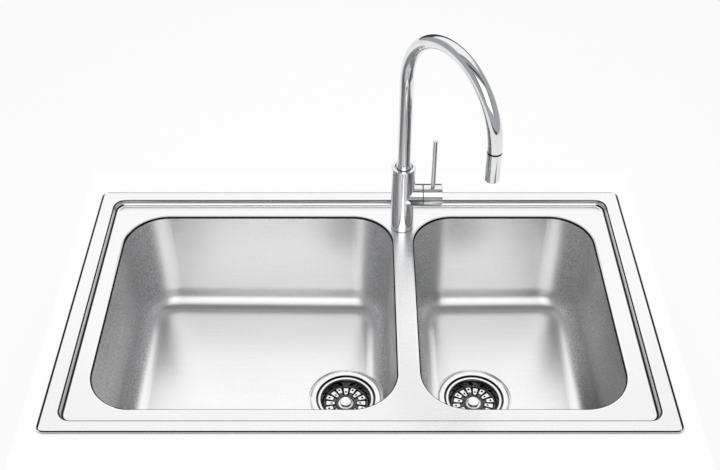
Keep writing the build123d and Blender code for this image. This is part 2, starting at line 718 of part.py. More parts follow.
with BuildPart() as spout_pipe:
    with BuildLine(spout_plane):
        riser = Line((0, pipe_foot), (0, spring_z))
        RadiusArc(riser @ 1, (2 * spout_arch_radius, spring_z), spout_arch_radius)
    with BuildSketch(Plane.XY.offset(pipe_foot)):
        with Locations((tap_x, tap_y)):
            Circle(pipe_radius)
            Circle(pipe_bore, mode=Mode.SUBTRACT)
    sweep()
spout_pipe.part.label = "spout_pipe"
export_step(spout_pipe.part, "parts/spout_pipe.step")

collar_top = tap_top + collar_rise
with BuildPart() as spout_collar:
    with BuildSketch(tap_section):
        with BuildLine():
            Polyline((pipe_radius, journal_foot), (journal_radius, journal_foot),
                     (journal_radius, screw_z - groove_width / 2),
                     (journal_radius - groove_depth, screw_z - groove_width / 2),
                     (journal_radius - groove_depth, screw_z + groove_width / 2),
                     (journal_radius, screw_z + groove_width / 2), (journal_radius, journal_top),
                     (collar_radius, journal_top), (collar_radius, collar_top - collar_edge),
                     (collar_radius - collar_edge, collar_top), (pipe_radius, collar_top), close=True)
        make_face()
    revolve(axis=tap_axis)
spout_collar.part.label = "spout_collar"
export_step(spout_collar.part, "parts/spout_collar.step")

with BuildPart() as spout_bearing:
    with BuildSketch(Plane.XY.offset(shoulder_z)):
        with Locations((tap_x, tap_y)):
            Circle(bearing_radius)
            Circle(bearing_bore_radius, mode=Mode.SUBTRACT)
    extrude(amount=journal_top - shoulder_z)
    with BuildSketch(screw_plane):
        Circle(spout_screw_radius + running_fit)
    extrude(amount=2 * tap_radius, mode=Mode.SUBTRACT)
spout_bearing.part.label = "spout_bearing"
export_step(spout_bearing.part, "parts/spout_bearing.step")

spout_screw_tip = journal_radius - groove_depth / 2
spout_screw_head = tap_radius - spout_screw_sink
with BuildPart() as spout_screw:
    with BuildSketch(screw_plane.offset(spout_screw_tip)):
        Circle(spout_screw_radius)
    extrude(amount=spout_screw_head - spout_screw_tip)
    with BuildSketch(screw_plane.offset(spout_screw_head)):
        RegularPolygon(spout_screw_radius / 2, 6)
    extrude(amount=-spout_screw_radius, mode=Mode.SUBTRACT)
spout_screw.part.label = "spout_screw"
export_step(spout_screw.part, "parts/spout_screw.step")

# ============================== Tap: pull-out spray ==============================

outlet_section = Plane(origin=(outlet_x, outlet_y, 0), x_dir=(1, 0, 0), z_dir=(0, -1, 0))
outlet_axis = Axis((outlet_x, outlet_y, 0), (0, 0, 1))
dock_radius = pipe_radius - dock_inset
dock_z = spring_z - dock_thickness
spray_top = dock_z - seating_gap
spray_foot = spray_top - spray_length
core_top = spray_top - spray_core_gap
core_foot = spray_foot + aerator_recess + aerator_length
core_radius = spray_foot_radius - spray_wall - running_fit

with BuildPart() as dock_ring:
    with BuildSketch(outlet_section):
        with BuildLine():
            Polyline((dock_bore_radius, dock_z), (dock_radius, dock_z), (dock_radius, spring_z),
                     (dock_sleeve_radius, spring_z), (dock_sleeve_radius, spring_z + dock_sleeve_length),
                     (dock_bore_radius, spring_z + dock_sleeve_length), close=True)
        make_face()
    revolve(axis=outlet_axis)
dock_ring.part.label = "dock_ring"
export_step(dock_ring.part, "parts/dock_ring.step")

with BuildPart() as spray_head:
    with BuildSketch(outlet_section):
        with BuildLine():
            Polyline((pipe_radius - spray_wall, spray_top), (pipe_radius, spray_top),
                     (spray_foot_radius, spray_foot), (spray_foot_radius - spray_wall, spray_foot),
                     close=True)
        make_face()
    revolve(axis=outlet_axis)
    fillet(spray_head.faces().sort_by(Axis.Z)[0].outer_wire().edges(), spray_round)
spray_head.part.label = "spray_head"
export_step(spray_head.part, "parts/spray_head.step")

with BuildPart() as spray_core:
    with BuildSketch(Plane.XY.offset(core_foot)):
        with Locations((outlet_x, outlet_y)):
            Circle(core_radius)
            Circle(hose_radius, mode=Mode.SUBTRACT)
    extrude(amount=core_top - core_foot)
spray_core.part.label = "spray_core"
export_step(spray_core.part, "parts/spray_core.step")

with BuildPart() as spray_aerator:
    with BuildSketch(Plane.XY.offset(core_foot)):
        with Locations((outlet_x, outlet_y)):
            Circle(core_radius)
            with GridLocations(aerator_hole_pitch, aerator_hole_pitch, aerator_hole_rows, aerator_hole_rows):
                Circle(aerator_hole_radius, mode=Mode.SUBTRACT)
    extrude(amount=-aerator_length)
spray_aerator.part.label = "spray_aerator"
export_step(spray_aerator.part, "parts/spray_aerator.step")

with BuildPart() as pullout_hose:
    with BuildSketch(Plane.XY.offset(core_top - hose_seat)):
        with Locations((outlet_x, outlet_y)):
            Circle(hose_radius)
            Circle(hose_radius - hose_wall, mode=Mode.SUBTRACT)
    extrude(amount=spring_z + hose_reach - core_top + hose_seat)
pullout_hose.part.label = "pullout_hose"
export_step(pullout_hose.part, "parts/pullout_hose.step")

# ============================== Tap: handle ==============================

ring_end = branch_length + seal_ring_thickness
hollow_radius = dome_radius + dome_gap
cartridge_radius = branch_bore_radius - cartridge_clearance
cartridge_start = branch_bore_floor + cartridge_clearance
cartridge_end = cartridge_start + cartridge_length

with BuildPart() as cartridge:
    with BuildSketch(Plane.YZ.offset(tap_x + cartridge_start)):
        with Locations((tap_y, branch_z)):
            Circle(cartridge_radius)
            with PolarLocations(channel_circle, channel_count):
                Circle(channel_radius, mode=Mode.SUBTRACT)
    extrude(amount=cartridge_length)
    with BuildSketch(Plane.YZ.offset(tap_x + tilt_x - carrier_back - cartridge_clearance)):
        with Locations((tap_y, branch_z)):
            Circle(carrier_radius + running_fit)
    extrude(amount=cartridge_length, mode=Mode.SUBTRACT)
cartridge.part.label = "cartridge"
export_step(cartridge.part, "parts/cartridge.step")

with BuildPart() as cartridge_nut:
    with BuildSketch(Plane.YZ.offset(tap_x + cartridge_end)):
        with Locations((tap_y, branch_z)):
            Circle(cartridge_radius)
            Circle(cartridge_nut_bore, mode=Mode.SUBTRACT)
    extrude(amount=branch_length - cartridge_end)
cartridge_nut.part.label = "cartridge_nut"
export_step(cartridge_nut.part, "parts/cartridge_nut.step")

with BuildPart() as temperature_ring:
    with BuildSketch(Plane.YZ.offset(tap_x + branch_length)):
        with Locations((tap_y, branch_z)):
            Circle(branch_radius - seal_ring_recess)
            Circle(branch_bore_radius, mode=Mode.SUBTRACT)
    extrude(amount=seal_ring_thickness)
temperature_ring.part.label = "temperature_ring"
export_step(temperature_ring.part, "parts/temperature_ring.step")

with BuildPart() as dome_ring:
    with BuildSketch(branch_section):
        with Locations((tilt_x, 0)):
            Circle(dome_radius)
            Circle(dome_radius - dome_wall, mode=Mode.SUBTRACT)
        with Locations((ring_end + dome_radius / 2, (dome_hole_radius + branch_radius) / 2)):
            Rectangle(dome_radius, branch_radius - dome_hole_radius, mode=Mode.INTERSECT)
    revolve(axis=branch_axis)
dome_ring.part.label = "dome_ring"
export_step(dome_ring.part, "parts/dome_ring.step")

with BuildPart() as cartridge_carrier:
    with BuildSketch(Plane.YZ.offset(tap_x + tilt_x - carrier_back)):
        with Locations((tap_y, branch_z)):
            Circle(carrier_radius)
    extrude(amount=carrier_back + carrier_front)
    with BuildSketch(Plane.XZ.offset(-tap_y - stem_radius - carrier_slot_gap)):
        with Locations((tap_x + tilt_x, branch_z)):
            Circle(stem_radius + carrier_slot_gap)
            with Locations((carrier_front / 2, (stem_radius - carrier_radius) / 2)):
                Rectangle(carrier_front, carrier_radius + stem_radius + 2 * carrier_slot_gap)
    extrude(amount=2 * (stem_radius + carrier_slot_gap), mode=Mode.SUBTRACT)
    with BuildSketch(Plane.XZ.offset(-tap_y - carrier_radius)):
        with Locations((tap_x + tilt_x, branch_z)):
            Circle(stem_pin_radius)
    extrude(amount=2 * carrier_radius, mode=Mode.SUBTRACT)
cartridge_carrier.part.label = "cartridge_carrier"
export_step(cartridge_carrier.part, "parts/cartridge_carrier.step")

stem_pin_length = 2 * (sqrt(carrier_radius**2 - stem_pin_radius**2) - stem_pin_inset)
with BuildPart() as stem_pin:
    with BuildSketch(Plane.XZ.offset(-tap_y - stem_pin_length / 2)):
        with Locations((tap_x + tilt_x, branch_z)):
            Circle(stem_pin_radius)
    extrude(amount=stem_pin_length)
stem_pin.part.label = "stem_pin"
export_step(stem_pin.part, "parts/stem_pin.step")

with BuildPart() as cartridge_stem:
    with BuildSketch(Plane.YZ.offset(tap_x + tilt_x)):
        with Locations((tap_y, branch_z)):
            Circle(stem_radius)
    extrude(amount=stem_end - tilt_x)
    with Locations((tap_x + tilt_x, tap_y, branch_z)):
        Sphere(stem_radius)
    with BuildSketch(Plane.XZ.offset(-tap_y - carrier_radius)):
        with Locations((tap_x + tilt_x, branch_z)):
            Circle(stem_pin_radius + running_fit)
    extrude(amount=2 * carrier_radius, mode=Mode.SUBTRACT)
cartridge_stem.part.label = "cartridge_stem"
export_step(cartridge_stem.part, "parts/cartridge_stem.step")

with BuildPart() as handle_cap:
    with BuildSketch(branch_section):
        with Locations(((cap_start + cap_end) / 2, branch_radius / 2)):
            Rectangle(cap_end - cap_start, branch_radius)
        with Locations((tilt_x, 0)):
            Circle(hollow_radius, mode=Mode.SUBTRACT)
        with Locations(((tilt_x + stem_end) / 2, 0)):
            Rectangle(stem_end - tilt_x, 2 * stem_radius, mode=Mode.SUBTRACT)
    revolve(axis=branch_axis)
    with BuildSketch(Plane.XY.offset(branch_z + lever_socket)):
        with Locations((tap_x + lever_offset, tap_y)):
            Circle(lever_radius)
    extrude(amount=branch_radius, mode=Mode.SUBTRACT)
    with BuildSketch(Plane.XY.offset(branch_z - stem_radius / 2)):
        with Locations((tap_x + cap_screw_offset, tap_y)):
            Circle(cap_screw_radius)
    extrude(amount=-branch_radius, mode=Mode.SUBTRACT)
handle_cap.part.label = "handle_cap"
export_step(handle_cap.part, "parts/handle_cap.step")

with BuildPart() as handle_end_plate:
    with BuildSketch(Plane.YZ.offset(tap_x + cap_end)):
        with Locations((tap_y, branch_z)):
            Circle(plate_spigot_radius)
    extrude(amount=plate_end - cap_end)
    with BuildSketch(Plane.YZ.offset(tap_x + cap_end + plate_gap)):
        with Locations((tap_y, branch_z)):
            Circle(branch_radius)
    extrude(amount=plate_end - cap_end - plate_gap)
    chamfer(handle_end_plate.faces().sort_by(Axis.X)[-1].edges(), plate_edge)
handle_end_plate.part.label = "handle_end_plate"
export_step(handle_end_plate.part, "parts/handle_end_plate.step")

with BuildPart() as lever_rod:
    with BuildSketch(Plane.XY.offset(branch_z + lever_socket)):
        with Locations((tap_x + lever_offset, tap_y)):
            Circle(lever_radius)
    extrude(amount=deck_top + lever_top - branch_z - lever_socket)
    fillet(lever_rod.faces().sort_by(Axis.Z)[-1].edges(), lever_round)
lever_rod.part.label = "lever_rod"
export_step(lever_rod.part, "parts/lever_rod.step")

with BuildPart() as handle_screw:
    with BuildSketch(Plane.XY.offset(branch_z - stem_radius)):
        with Locations((tap_x + cap_screw_offset, tap_y)):
            Circle(cap_screw_radius)
    extrude(amount=-(branch_radius - stem_radius - cap_screw_sink))
    with BuildSketch(Plane.XY.offset(branch_z - branch_radius + cap_screw_sink)):
        with Locations((tap_x + cap_screw_offset, tap_y)):
            RegularPolygon(cap_screw_radius / 2, 6)
    extrude(amount=cap_screw_radius, mode=Mode.SUBTRACT)
handle_screw.part.label = "handle_screw"
export_step(handle_screw.part, "parts/handle_screw.step")
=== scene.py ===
"""Finishes, fine detail and studio of an inset double bowl kitchen sink with its mixer tap."""

import json
import math

import bmesh
import bpy
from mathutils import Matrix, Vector


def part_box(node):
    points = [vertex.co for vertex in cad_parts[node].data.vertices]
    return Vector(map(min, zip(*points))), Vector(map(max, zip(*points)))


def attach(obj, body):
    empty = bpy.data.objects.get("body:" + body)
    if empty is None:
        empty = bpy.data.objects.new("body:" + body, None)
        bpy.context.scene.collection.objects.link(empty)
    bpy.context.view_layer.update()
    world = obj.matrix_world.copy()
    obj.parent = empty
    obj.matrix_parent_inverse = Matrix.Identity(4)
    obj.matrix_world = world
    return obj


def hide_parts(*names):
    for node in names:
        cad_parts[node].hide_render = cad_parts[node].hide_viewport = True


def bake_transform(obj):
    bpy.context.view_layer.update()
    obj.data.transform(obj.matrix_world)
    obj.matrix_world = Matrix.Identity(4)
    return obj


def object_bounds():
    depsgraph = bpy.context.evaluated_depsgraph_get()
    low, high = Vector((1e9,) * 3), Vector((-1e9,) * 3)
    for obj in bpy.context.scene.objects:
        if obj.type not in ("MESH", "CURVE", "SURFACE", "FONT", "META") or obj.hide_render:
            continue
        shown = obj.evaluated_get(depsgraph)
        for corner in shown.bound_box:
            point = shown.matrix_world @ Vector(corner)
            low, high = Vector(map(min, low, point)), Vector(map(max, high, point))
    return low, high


bl_info = {
    "name": "Double Bowl Sink",
    "version": (1, 0, 0),
    "blender": (4, 5, 0),
    "location": "3D View > Sidebar > Sink",
    "description": "Finishes, fine detail and studio of an inset double bowl sink",
    "category": "Object",
}

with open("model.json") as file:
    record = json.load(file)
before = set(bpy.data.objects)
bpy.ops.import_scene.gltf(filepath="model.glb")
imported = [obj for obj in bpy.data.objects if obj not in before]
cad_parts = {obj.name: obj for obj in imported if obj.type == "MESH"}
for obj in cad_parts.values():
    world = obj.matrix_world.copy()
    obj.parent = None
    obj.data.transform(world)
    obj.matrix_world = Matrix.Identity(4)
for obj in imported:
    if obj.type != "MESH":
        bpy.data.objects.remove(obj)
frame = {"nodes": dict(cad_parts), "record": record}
cad_low, cad_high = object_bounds()

MM = 0.001


def ends_of(node):
    """The middle of the underside and the middle of the top of a node's box."""
    low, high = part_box(node)
    middle = (low + high) / 2
    return Vector((middle.x, middle.y, low.z)), Vector((middle.x, middle.y, high.z))


def radius_of(node):
    """Half the length of a node's box along X, in millimetres."""
    low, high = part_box(node)
    return (high.x - low.x) / 2 / MM


# The point on each drain's axis at the top of its flange
DRAINS = {size: ends_of(size + "_strainer_flange")[1] for size in ("large", "small")}
BASKET_BODIES = ("large_basket_body", "small_basket_body")

# ------------------------------------------------------------------ places, in millimetres

# The rounded outline of the top of the step down to the deck
STEP_LENGTH = 808.2
STEP_WIDTH = 457.8
STEP_CORNER = 18.0
STEP_Y = -1.2

# Lines on the sink where its painted shade changes: where the change starts and where it ends
LIP_ENDS = (424.8, 425.4)       # left and right of the middle
LIP_BACK = (246.2, 247.0)
LIP_FRONT = (-247.8, -247.2)
RIM_TOP = (2.3, 2.8)            # heights over the worktop
HEM_TOP = (0.5, 0.9)
HEM_FOOT = (-0.1, 0.2)
STEP_FOOT = (-2.0, -1.2)
CREST = (1.3, 1.7)              # outwards from the top of the step
CREST_BACK = (226.5, 227.5)     # the crest isn't dark behind this
STEP_WALL = (12.0, 14.0)        # outwards from the top of the step
DECK_SHADE_FADE = (-240.0, 0.0)
BOWL_MOUTH = (-8.6, -8.0)
FLOOR_SHADE_FADE = (-50.0, 170.0)
END_SHADE_FADE = (-120.0, 120.0)
OUTER_END_SHADE = (300.0, 340.0)

# Bands on a strainer kept clear of its painted shade: radii, and heights from the top of its flange
FLANGE_RING = (40.9, 44.0)
FLANGE_OUTSIDE = (47.0, 47.6)
FLANGE_DEPTH = (-3.6, -3.1)
TONGUE_HEIGHTS = (-12.8, -11.9)
KNOB_DEPTH = (-9.9, -9.5)
KNOB_EDGE = (9.5, 10.5)

# ------------------------------------------------------------------ material building


class Signal:
    """An output of a material's node. Arithmetic on it adds Math nodes."""

    def __init__(self, recipe, socket):
        self.recipe = recipe
        self.socket = socket

    def math(self, operation, *values):
        """A Math node on these values."""
        return self.recipe.node("ShaderNodeMath", {"operation": operation}, values)

    def __add__(self, other):
        return self.math("ADD", self, other)

    def __sub__(self, other):
        return self.math("SUBTRACT", self, other)

    def __rsub__(self, other):
        return self.math("SUBTRACT", other, self)

    def __mul__(self, other):
        return self.math("MULTIPLY", self, other)

    def __pow__(self, other):
        return self.math("POWER", self, other)

    def __abs__(self):
        return self.math("ABSOLUTE", self)

    __radd__ = __add__
    __rmul__ = __mul__

    def or_higher(self, other):
        return self.math("MAXIMUM", self, other)

    def or_lower(self, other):
        return self.math("MINIMUM", self, other)

    def sine(self):
        return self.math("SINE", self)

    def arc_from(self, other):
        """The angle of the point (other, self) round the origin, in degrees."""
        return self.math("ARCTAN2", self, other) * (180 / math.pi)

    def ramp(self, low, high):
        """0 below low, 1 above high, smooth between them."""
        settings = {"interpolation_type": "SMOOTHSTEP"}
        return self.recipe.node("ShaderNodeMapRange", settings, (self, low, high, 0.0, 1.0))

    def between(self, low, high, soft):
        """1 from low to high, 0 outside, with edges this soft."""
        return self.ramp(low - soft, low + soft) * (1 - self.ramp(high - soft, high + soft))

    def past(self, line):
        """0 before a line, 1 beyond it. The line is in millimetres."""
        return self.ramp(line[0] * MM, line[1] * MM)

    def within(self, band, soft):
        """1 in a band, 0 outside, with edges this soft, all in millimetres."""
        return self.between(band[0] * MM, band[1] * MM, soft * MM)


class Recipe:
    """A material, or the world, under construction."""

    def __init__(self, owner):
        owner.use_nodes = True
        self.owner = owner
        self.tree = owner.node_tree

    def node(self, kind, settings=None, inputs=(), output=0):
        """Adds a node. Its settings are set first, then its sockets by number or name."""
        made = self.tree.nodes.new(kind)
        for key, value in (settings or {}).items():
            setattr(made, key, value)
        pairs = inputs.items() if isinstance(inputs, dict) else enumerate(inputs)
        for key, value in pairs:
            self.plug(made.inputs[key], value)
        return Signal(self, made.outputs[output])

    def plug(self, socket, value):
        """Links a signal to a socket, or sets the socket to a number or colour."""
        if isinstance(value, Signal):
            self.tree.links.new(value.socket, socket)
        else:
            socket.default_value = value

    def split(self, vector):
        """The three numbers of a vector."""
        first = self.node("ShaderNodeSeparateXYZ", None, (vector,))
        return [Signal(self, socket) for socket in first.socket.node.outputs]

    def place(self):
        """The three Object coordinates."""
        return self.split(self.node("ShaderNodeTexCoord", output="Object"))

    def coordinates(self, scale=(1, 1, 1)):
        """Object coordinates as a vector, stretched by scale."""
        where = self.node("ShaderNodeTexCoord", output="Object")
        sockets = {"Vector": where, "Scale": scale}
        return self.node("ShaderNodeMapping", {"vector_type": "POINT"}, sockets)

    def noise(self, scale, stretch=(1, 1, 1), detail=3.0, roughness=0.5):
        where = self.coordinates(stretch)
        sockets = {"Vector": where, "Scale": scale, "Detail": detail, "Roughness": roughness}
        return self.node("ShaderNodeTexNoise", None, sockets)

    def blend(self, mask, low, high):
        """A colour between low and high."""
        sockets = {0: mask, 6: low, 7: high}
        return self.node("ShaderNodeMix", {"data_type": "RGBA"}, sockets, output=2)

    def facing(self, axis):
        """How far the surface faces along an axis, either way, from 0 to 1."""
        return abs(self.split(self.node("ShaderNodeNewGeometry", output="Normal"))[axis])

    def facing_up(self):
        return self.facing(2)

    def facing_sideways(self):
        return self.facing(0)

    def seen_directly(self):
        """1 for rays of the camera, of gloss and of glass, 0 for light that spreads."""
        rays = ("Is Camera Ray", "Is Glossy Ray", "Is Transmission Ray")
        camera, gloss, glass = (self.node("ShaderNodeLightPath", output=ray) for ray in rays)
        return camera.or_higher(gloss).or_higher(glass)

    def surface(self, shader_values, bump=None, strength=0.1, depth=0.0001):
        """Sets the sockets of the surface's shader, and its bump from a height."""
        shader = self.tree.nodes["Principled BSDF"]
        for key, value in shader_values.items():
            self.plug(shader.inputs[key], value)
        if bump is not None:
            sockets = {"Height": bump, "Strength": strength, "Distance": depth}
            self.plug(shader.inputs["Normal"], self.node("ShaderNodeBump", None, sockets))
        return self.owner


def grey(level, cool=0.0):
    """A grey that leans to blue by cool."""
    return (level * (1 - cool), level * (1 - cool / 3), level * (1 + cool / 2), 1.0)


def scaled(colour, share):
    """A share of a colour, up to full brightness."""
    return tuple(min(1.0, level * share) for level in colour[:3]) + (1.0,)


# ------------------------------------------------------------------ finishes


def beyond_step(x, y):
    """Distance outwards from the top of the step, in metres."""
    across = (abs(x) - (STEP_LENGTH / 2 - STEP_CORNER) * MM).or_higher(0.0)
    along = (abs(y - STEP_Y * MM) - (STEP_WIDTH / 2 - STEP_CORNER) * MM).or_higher(0.0)
    return (across ** 2 + along ** 2) ** 0.5 - STEP_CORNER * MM


def deck_finish(name, looks):
    """Satin sheet steel of the deck and rim, ground along its length. Its rolled edges, the foot of
    its lip and the foot of the step are painted near black as shade lines, and are smoother. The
    step's walls that face front and back, and the deck towards the front, have painted shade."""
    recipe = Recipe(bpy.data.materials.new(name))
    x, y, z = recipe.place()
    up = recipe.facing_up()
    sideways = recipe.facing_sideways()
    beyond = beyond_step(x, y)
    grain = recipe.noise(1.0, (14, 2400, 56), detail=5.0, roughness=0.65)
    cloud = recipe.noise(7.0, detail=4.0, roughness=0.6)
    fleck = recipe.noise(700.0, detail=2.0)

    # Painted shade lines, near black and smoother: the rolled edges, the lip and the step's crest at
    # the rim's height, the contact shadow at the foot of the lip, and the cove at the foot of the
    # step.
    roll = up.between(0.5, 0.975, 0.02)
    lip = abs(x).past(LIP_ENDS).or_higher(y.past(LIP_BACK)).or_higher(1 - y.past(LIP_FRONT))
    crest = (1 - beyond.past(CREST)) * (1 - y.past(CREST_BACK))
    painted_rim_shade = roll.or_higher(lip).or_higher(crest) * z.past(RIM_TOP)
    painted_hem_shadow = (1 - z.past(HEM_TOP)) * z.past(HEM_FOOT) * lip
    foot = up.between(0.58, 0.92, 0.05) * (1 - z.past(STEP_FOOT)) * sideways.ramp(0.1, 0.3)
    painted_edge_shade = painted_rim_shade.or_higher(painted_hem_shadow).or_higher(foot)
    wall = (1 - up.ramp(0.3, 0.5)) * (1 - painted_edge_shade) * (1 - beyond.past(STEP_WALL))

    steel = grey(looks.deck_tone)
    cool_steel = grey(looks.deck_tone, 0.02)
    # Painted shade: besides the mottle of the grain, the deck darkens towards the front.
    shade = (grain * 0.5 + cloud * 0.2 + fleck * 0.3) * 0.6 + y.past(DECK_SHADE_FADE) * 0.4
    ground = recipe.blend(shade, scaled(steel, 0.92), scaled(steel, 1.06))
    # Painted shade: the step's walls that face front or back are about half as bright, with a faint
    # blue lean; those that face the sides keep the steel's tone.
    walls = recipe.blend(sideways.ramp(0.4, 0.8), scaled(cool_steel, 0.56), scaled(cool_steel, 1.05))
    ground_with_painted_walls = recipe.blend(wall, ground, walls)
    roughness = looks.deck_roughness - 0.07 + cloud * 0.05 + grain * 0.09
    return recipe.surface({
        "Base Color": recipe.blend(painted_edge_shade, ground_with_painted_walls, grey(looks.painted_edge_tone, 0.03)),
        "Metallic": 1.0,
        "Roughness": roughness * (1 - painted_edge_shade * 0.4),
    }, bump=grain * 0.5 + fleck * 0.5, strength=looks.grain_strength)


def bowl_finish(name, looks):
    """Satin steel of the pressed bowls: level hair-lines on the floor and the long walls, a speckled
    surface at the ends, where the sheet was stretched most, painted shade on the end walls towards
    the front and on the floors towards the back, and a rolled mouth painted near black as a shade
    line."""
    recipe = Recipe(bpy.data.materials.new(name))
    x, y, z = recipe.place()
    up = recipe.facing_up()
    level = up.ramp(0.4, 0.85)
    end = recipe.facing_sideways().ramp(0.3, 0.65)
    # The rolled mouth is painted near black as a shade line, and is smoother.
    mouth = up.between(0.08, 0.955, 0.035) * z.past(BOWL_MOUTH)
    lines = recipe.noise(1.0, (9, 9, 1700), detail=5.0, roughness=0.65)
    hair = recipe.noise(1.0, (11, 1700, 44), detail=5.0, roughness=0.65)
    streak = recipe.noise(1.0, (60, 4, 160), detail=3.0, roughness=0.6)
    speck = recipe.noise(560.0, detail=1.0, roughness=0.5)
    cloud = recipe.noise(7.0, detail=4.0, roughness=0.6)
    fleck = recipe.noise(380.0, detail=4.0, roughness=0.75)
    grain = lines * (1 - level) + hair * level

    # The walls and the floors, each in a dim and a pale shade. The floors have painted shade towards
    # the back.
    steel = grey(looks.bowl_tone)
    floor_steel = grey(looks.floor_tone)
    far = y.past(FLOOR_SHADE_FADE)
    shades = []
    for wall_share, floor_share in ((0.9, 0.93), (1.1, 1.06)):
        near_floor = scaled(floor_steel, floor_share)
        painted_shade_floor = scaled(floor_steel, looks.painted_floor_shade * floor_share)
        floor = recipe.blend(far, near_floor, painted_shade_floor)
        shades.append(recipe.blend(level, scaled(steel, wall_share), floor))
    shade = (grain * 0.4 + cloud * 0.2 + fleck * 0.4).ramp(0.32, 0.68)
    ground = recipe.blend(shade, *shades)

    # The end walls have painted shade towards the front, and the outermost one more, over their
    # speckle.
    back = y.past(END_SHADE_FADE)
    outer = x.past(OUTER_END_SHADE) * (1 - back)
    spots = (streak * 0.14 + speck * 0.86).ramp(0.38, 0.62)
    end_shade_and_speck = (0.62 + 0.38 * back) * (1 - 0.45 * outer) * (0.72 + 0.56 * spots)
    end_wall_shade_and_speck = (end_shade_and_speck * (looks.bowl_tone * looks.painted_end_shade)).or_lower(1.0)

    ground_with_painted_walls = recipe.blend(end, ground, end_wall_shade_and_speck)
    roughness = looks.bowl_roughness - 0.08 + cloud * 0.06 + fleck * 0.1 + end * 0.14
    return recipe.surface({
        "Base Color": recipe.blend(mouth, ground_with_painted_walls, grey(looks.painted_edge_tone, 0.03)),
        "Metallic": 1.0,
        "Roughness": roughness * (1 - mouth * 0.4),
    }, bump=grain * 0.5 + fleck * 0.5, strength=looks.grain_strength * 1.8)


def turned_steel(name, centre, tone, roughness):
    """Polished steel that was spun on a lathe: faint rings round its axis. Its hollows and steep
    sides are painted near black as shade."""
    recipe = Recipe(bpy.data.materials.new(name))
    x, y, z = recipe.place()
    out = ((x - centre.x) ** 2 + (y - centre.y) ** 2) ** 0.5
    deep = z - centre.z
    fineness = 2200
    where = recipe.node("ShaderNodeCombineXYZ", None, (out * fineness, 0.0, z * fineness))
    sockets = {"Vector": where, "Scale": 1.0, "Detail": 3.0}
    rings = recipe.node("ShaderNodeTexNoise", None, sockets)
    cloud = recipe.noise(90.0, detail=3.0)

    flange = deep.past(FLANGE_DEPTH) * (out.within(FLANGE_RING, 0.2) + out.past(FLANGE_OUTSIDE))
    tongues = deep.within(TONGUE_HEIGHTS, 0.1)
    knob = deep.past(KNOB_DEPTH) * (1 - out.past(KNOB_EDGE))
    # Painted shade: all but the flange's top, the tongues' tops and the knob's top is painted near
    # black.
    bright = (flange + tongues + knob) * recipe.facing_up().ramp(0.74, 0.92)
    steel = grey(tone)
    shade = recipe.blend(rings * 0.5 + cloud * 0.5, scaled(steel, 0.94), scaled(steel, 1.04))
    return recipe.surface({
        "Base Color": recipe.blend(bright, scaled(steel, 0.12), shade),
        "Metallic": 1.0,
        "Roughness": roughness - 0.02 + rings * 0.05 + cloud * 0.03,
    }, bump=rings, strength=0.05, depth=0.00005)


def plain_finish(name, colour, metallic, roughness, mottle, scale, bump, painted_gap_shadow=None):
    """A finish with fine mottling of its colour and roughness. A painted gap shadow, if given, is the
    height, in metres, of a joint round which a near-black band is painted as the shadow in its gap."""
    recipe = Recipe(bpy.data.materials.new(name))
    fine = recipe.noise(scale, detail=3.0)
    broad = recipe.noise(scale / 25, detail=2.0)
    shade = fine * 0.6 + broad * 0.4
    tone = recipe.blend(shade, scaled(colour, 1 - mottle), scaled(colour, 1 + mottle))
    if painted_gap_shadow is not None:
        z = recipe.place()[2]
        # Painted shadow: a near-black band, 3 mm tall, round the joint.
        tone = recipe.blend((z - painted_gap_shadow).within((-1.5, 1.5), 0.1), tone, grey(0.02))
    return recipe.surface({
        "Base Color": tone,
        "Metallic": metallic,
        "Roughness": roughness * (1 - mottle) + shade * (2 * mottle * roughness),
    }, bump=fine, strength=bump)


def pressed_pad(name, colour):
    """Sound deadening sheet: bitumen with a rolled waffle of small cells."""
    recipe = Recipe(bpy.data.materials.new(name))
    sockets = {"Vector": recipe.coordinates(), "Scale": 160.0, "Randomness": 0.15}
    cells = recipe.node("ShaderNodeTexVoronoi", {"feature": "DISTANCE_TO_EDGE"}, sockets)
    grit = recipe.noise(900.0, detail=3.0)
    seams = cells.ramp(0.02, 0.12)
    return recipe.surface({
        # The grooves between the cells are darker: painted shade.
        "Base Color": recipe.blend(seams * 0.7 + grit * 0.3, scaled(colour, 0.7), colour),
        "Roughness": 0.68 + grit * 0.14,
    }, bump=seams * 0.8 + grit * 0.2, strength=0.5, depth=0.0004)


def open_foam(name, colour):
    """Closed-cell foam with fine pores."""
    recipe = Recipe(bpy.data.materials.new(name))
    sockets = {"Vector": recipe.coordinates(), "Scale": 900.0}
    pores = recipe.node("ShaderNodeTexVoronoi", {"feature": "F1"}, sockets)
    broad = recipe.noise(60.0, detail=3.0)
    # The pores are darker: painted shade.
    shade = pores.ramp(0.1, 0.6) * 0.8 + broad * 0.2
    return recipe.surface({
        "Base Color": recipe.blend(shade, scaled(colour, 0.5), colour),
        "Roughness": 0.82 + broad * 0.12,
    }, bump=pores, strength=0.7, depth=0.0003)


def braided_hose(name, colour):
    """Woven nylon over a hose: two crossing sets of threads."""
    recipe = Recipe(bpy.data.materials.new(name))
    turn, height = recipe.split(recipe.node("ShaderNodeTexCoord", output="UV"))[:2]
    round_it = turn * 75.4        # radians of weave: twelve threads
    along_it = height * 90.0
    weave = (round_it + along_it).sine().or_higher((round_it - along_it).sine()) * 0.5 + 0.5
    fuzz = recipe.noise(1500.0, detail=2.0)
    return recipe.surface({
        # Between the threads it is darker: painted shade.
        "Base Color": recipe.blend(weave * 0.85 + fuzz * 0.15, scaled(colour, 0.35), colour),
        "Roughness": 0.45 + fuzz * 0.2,
    }, bump=weave * 0.9 + fuzz * 0.1, strength=0.6, depth=0.0003)


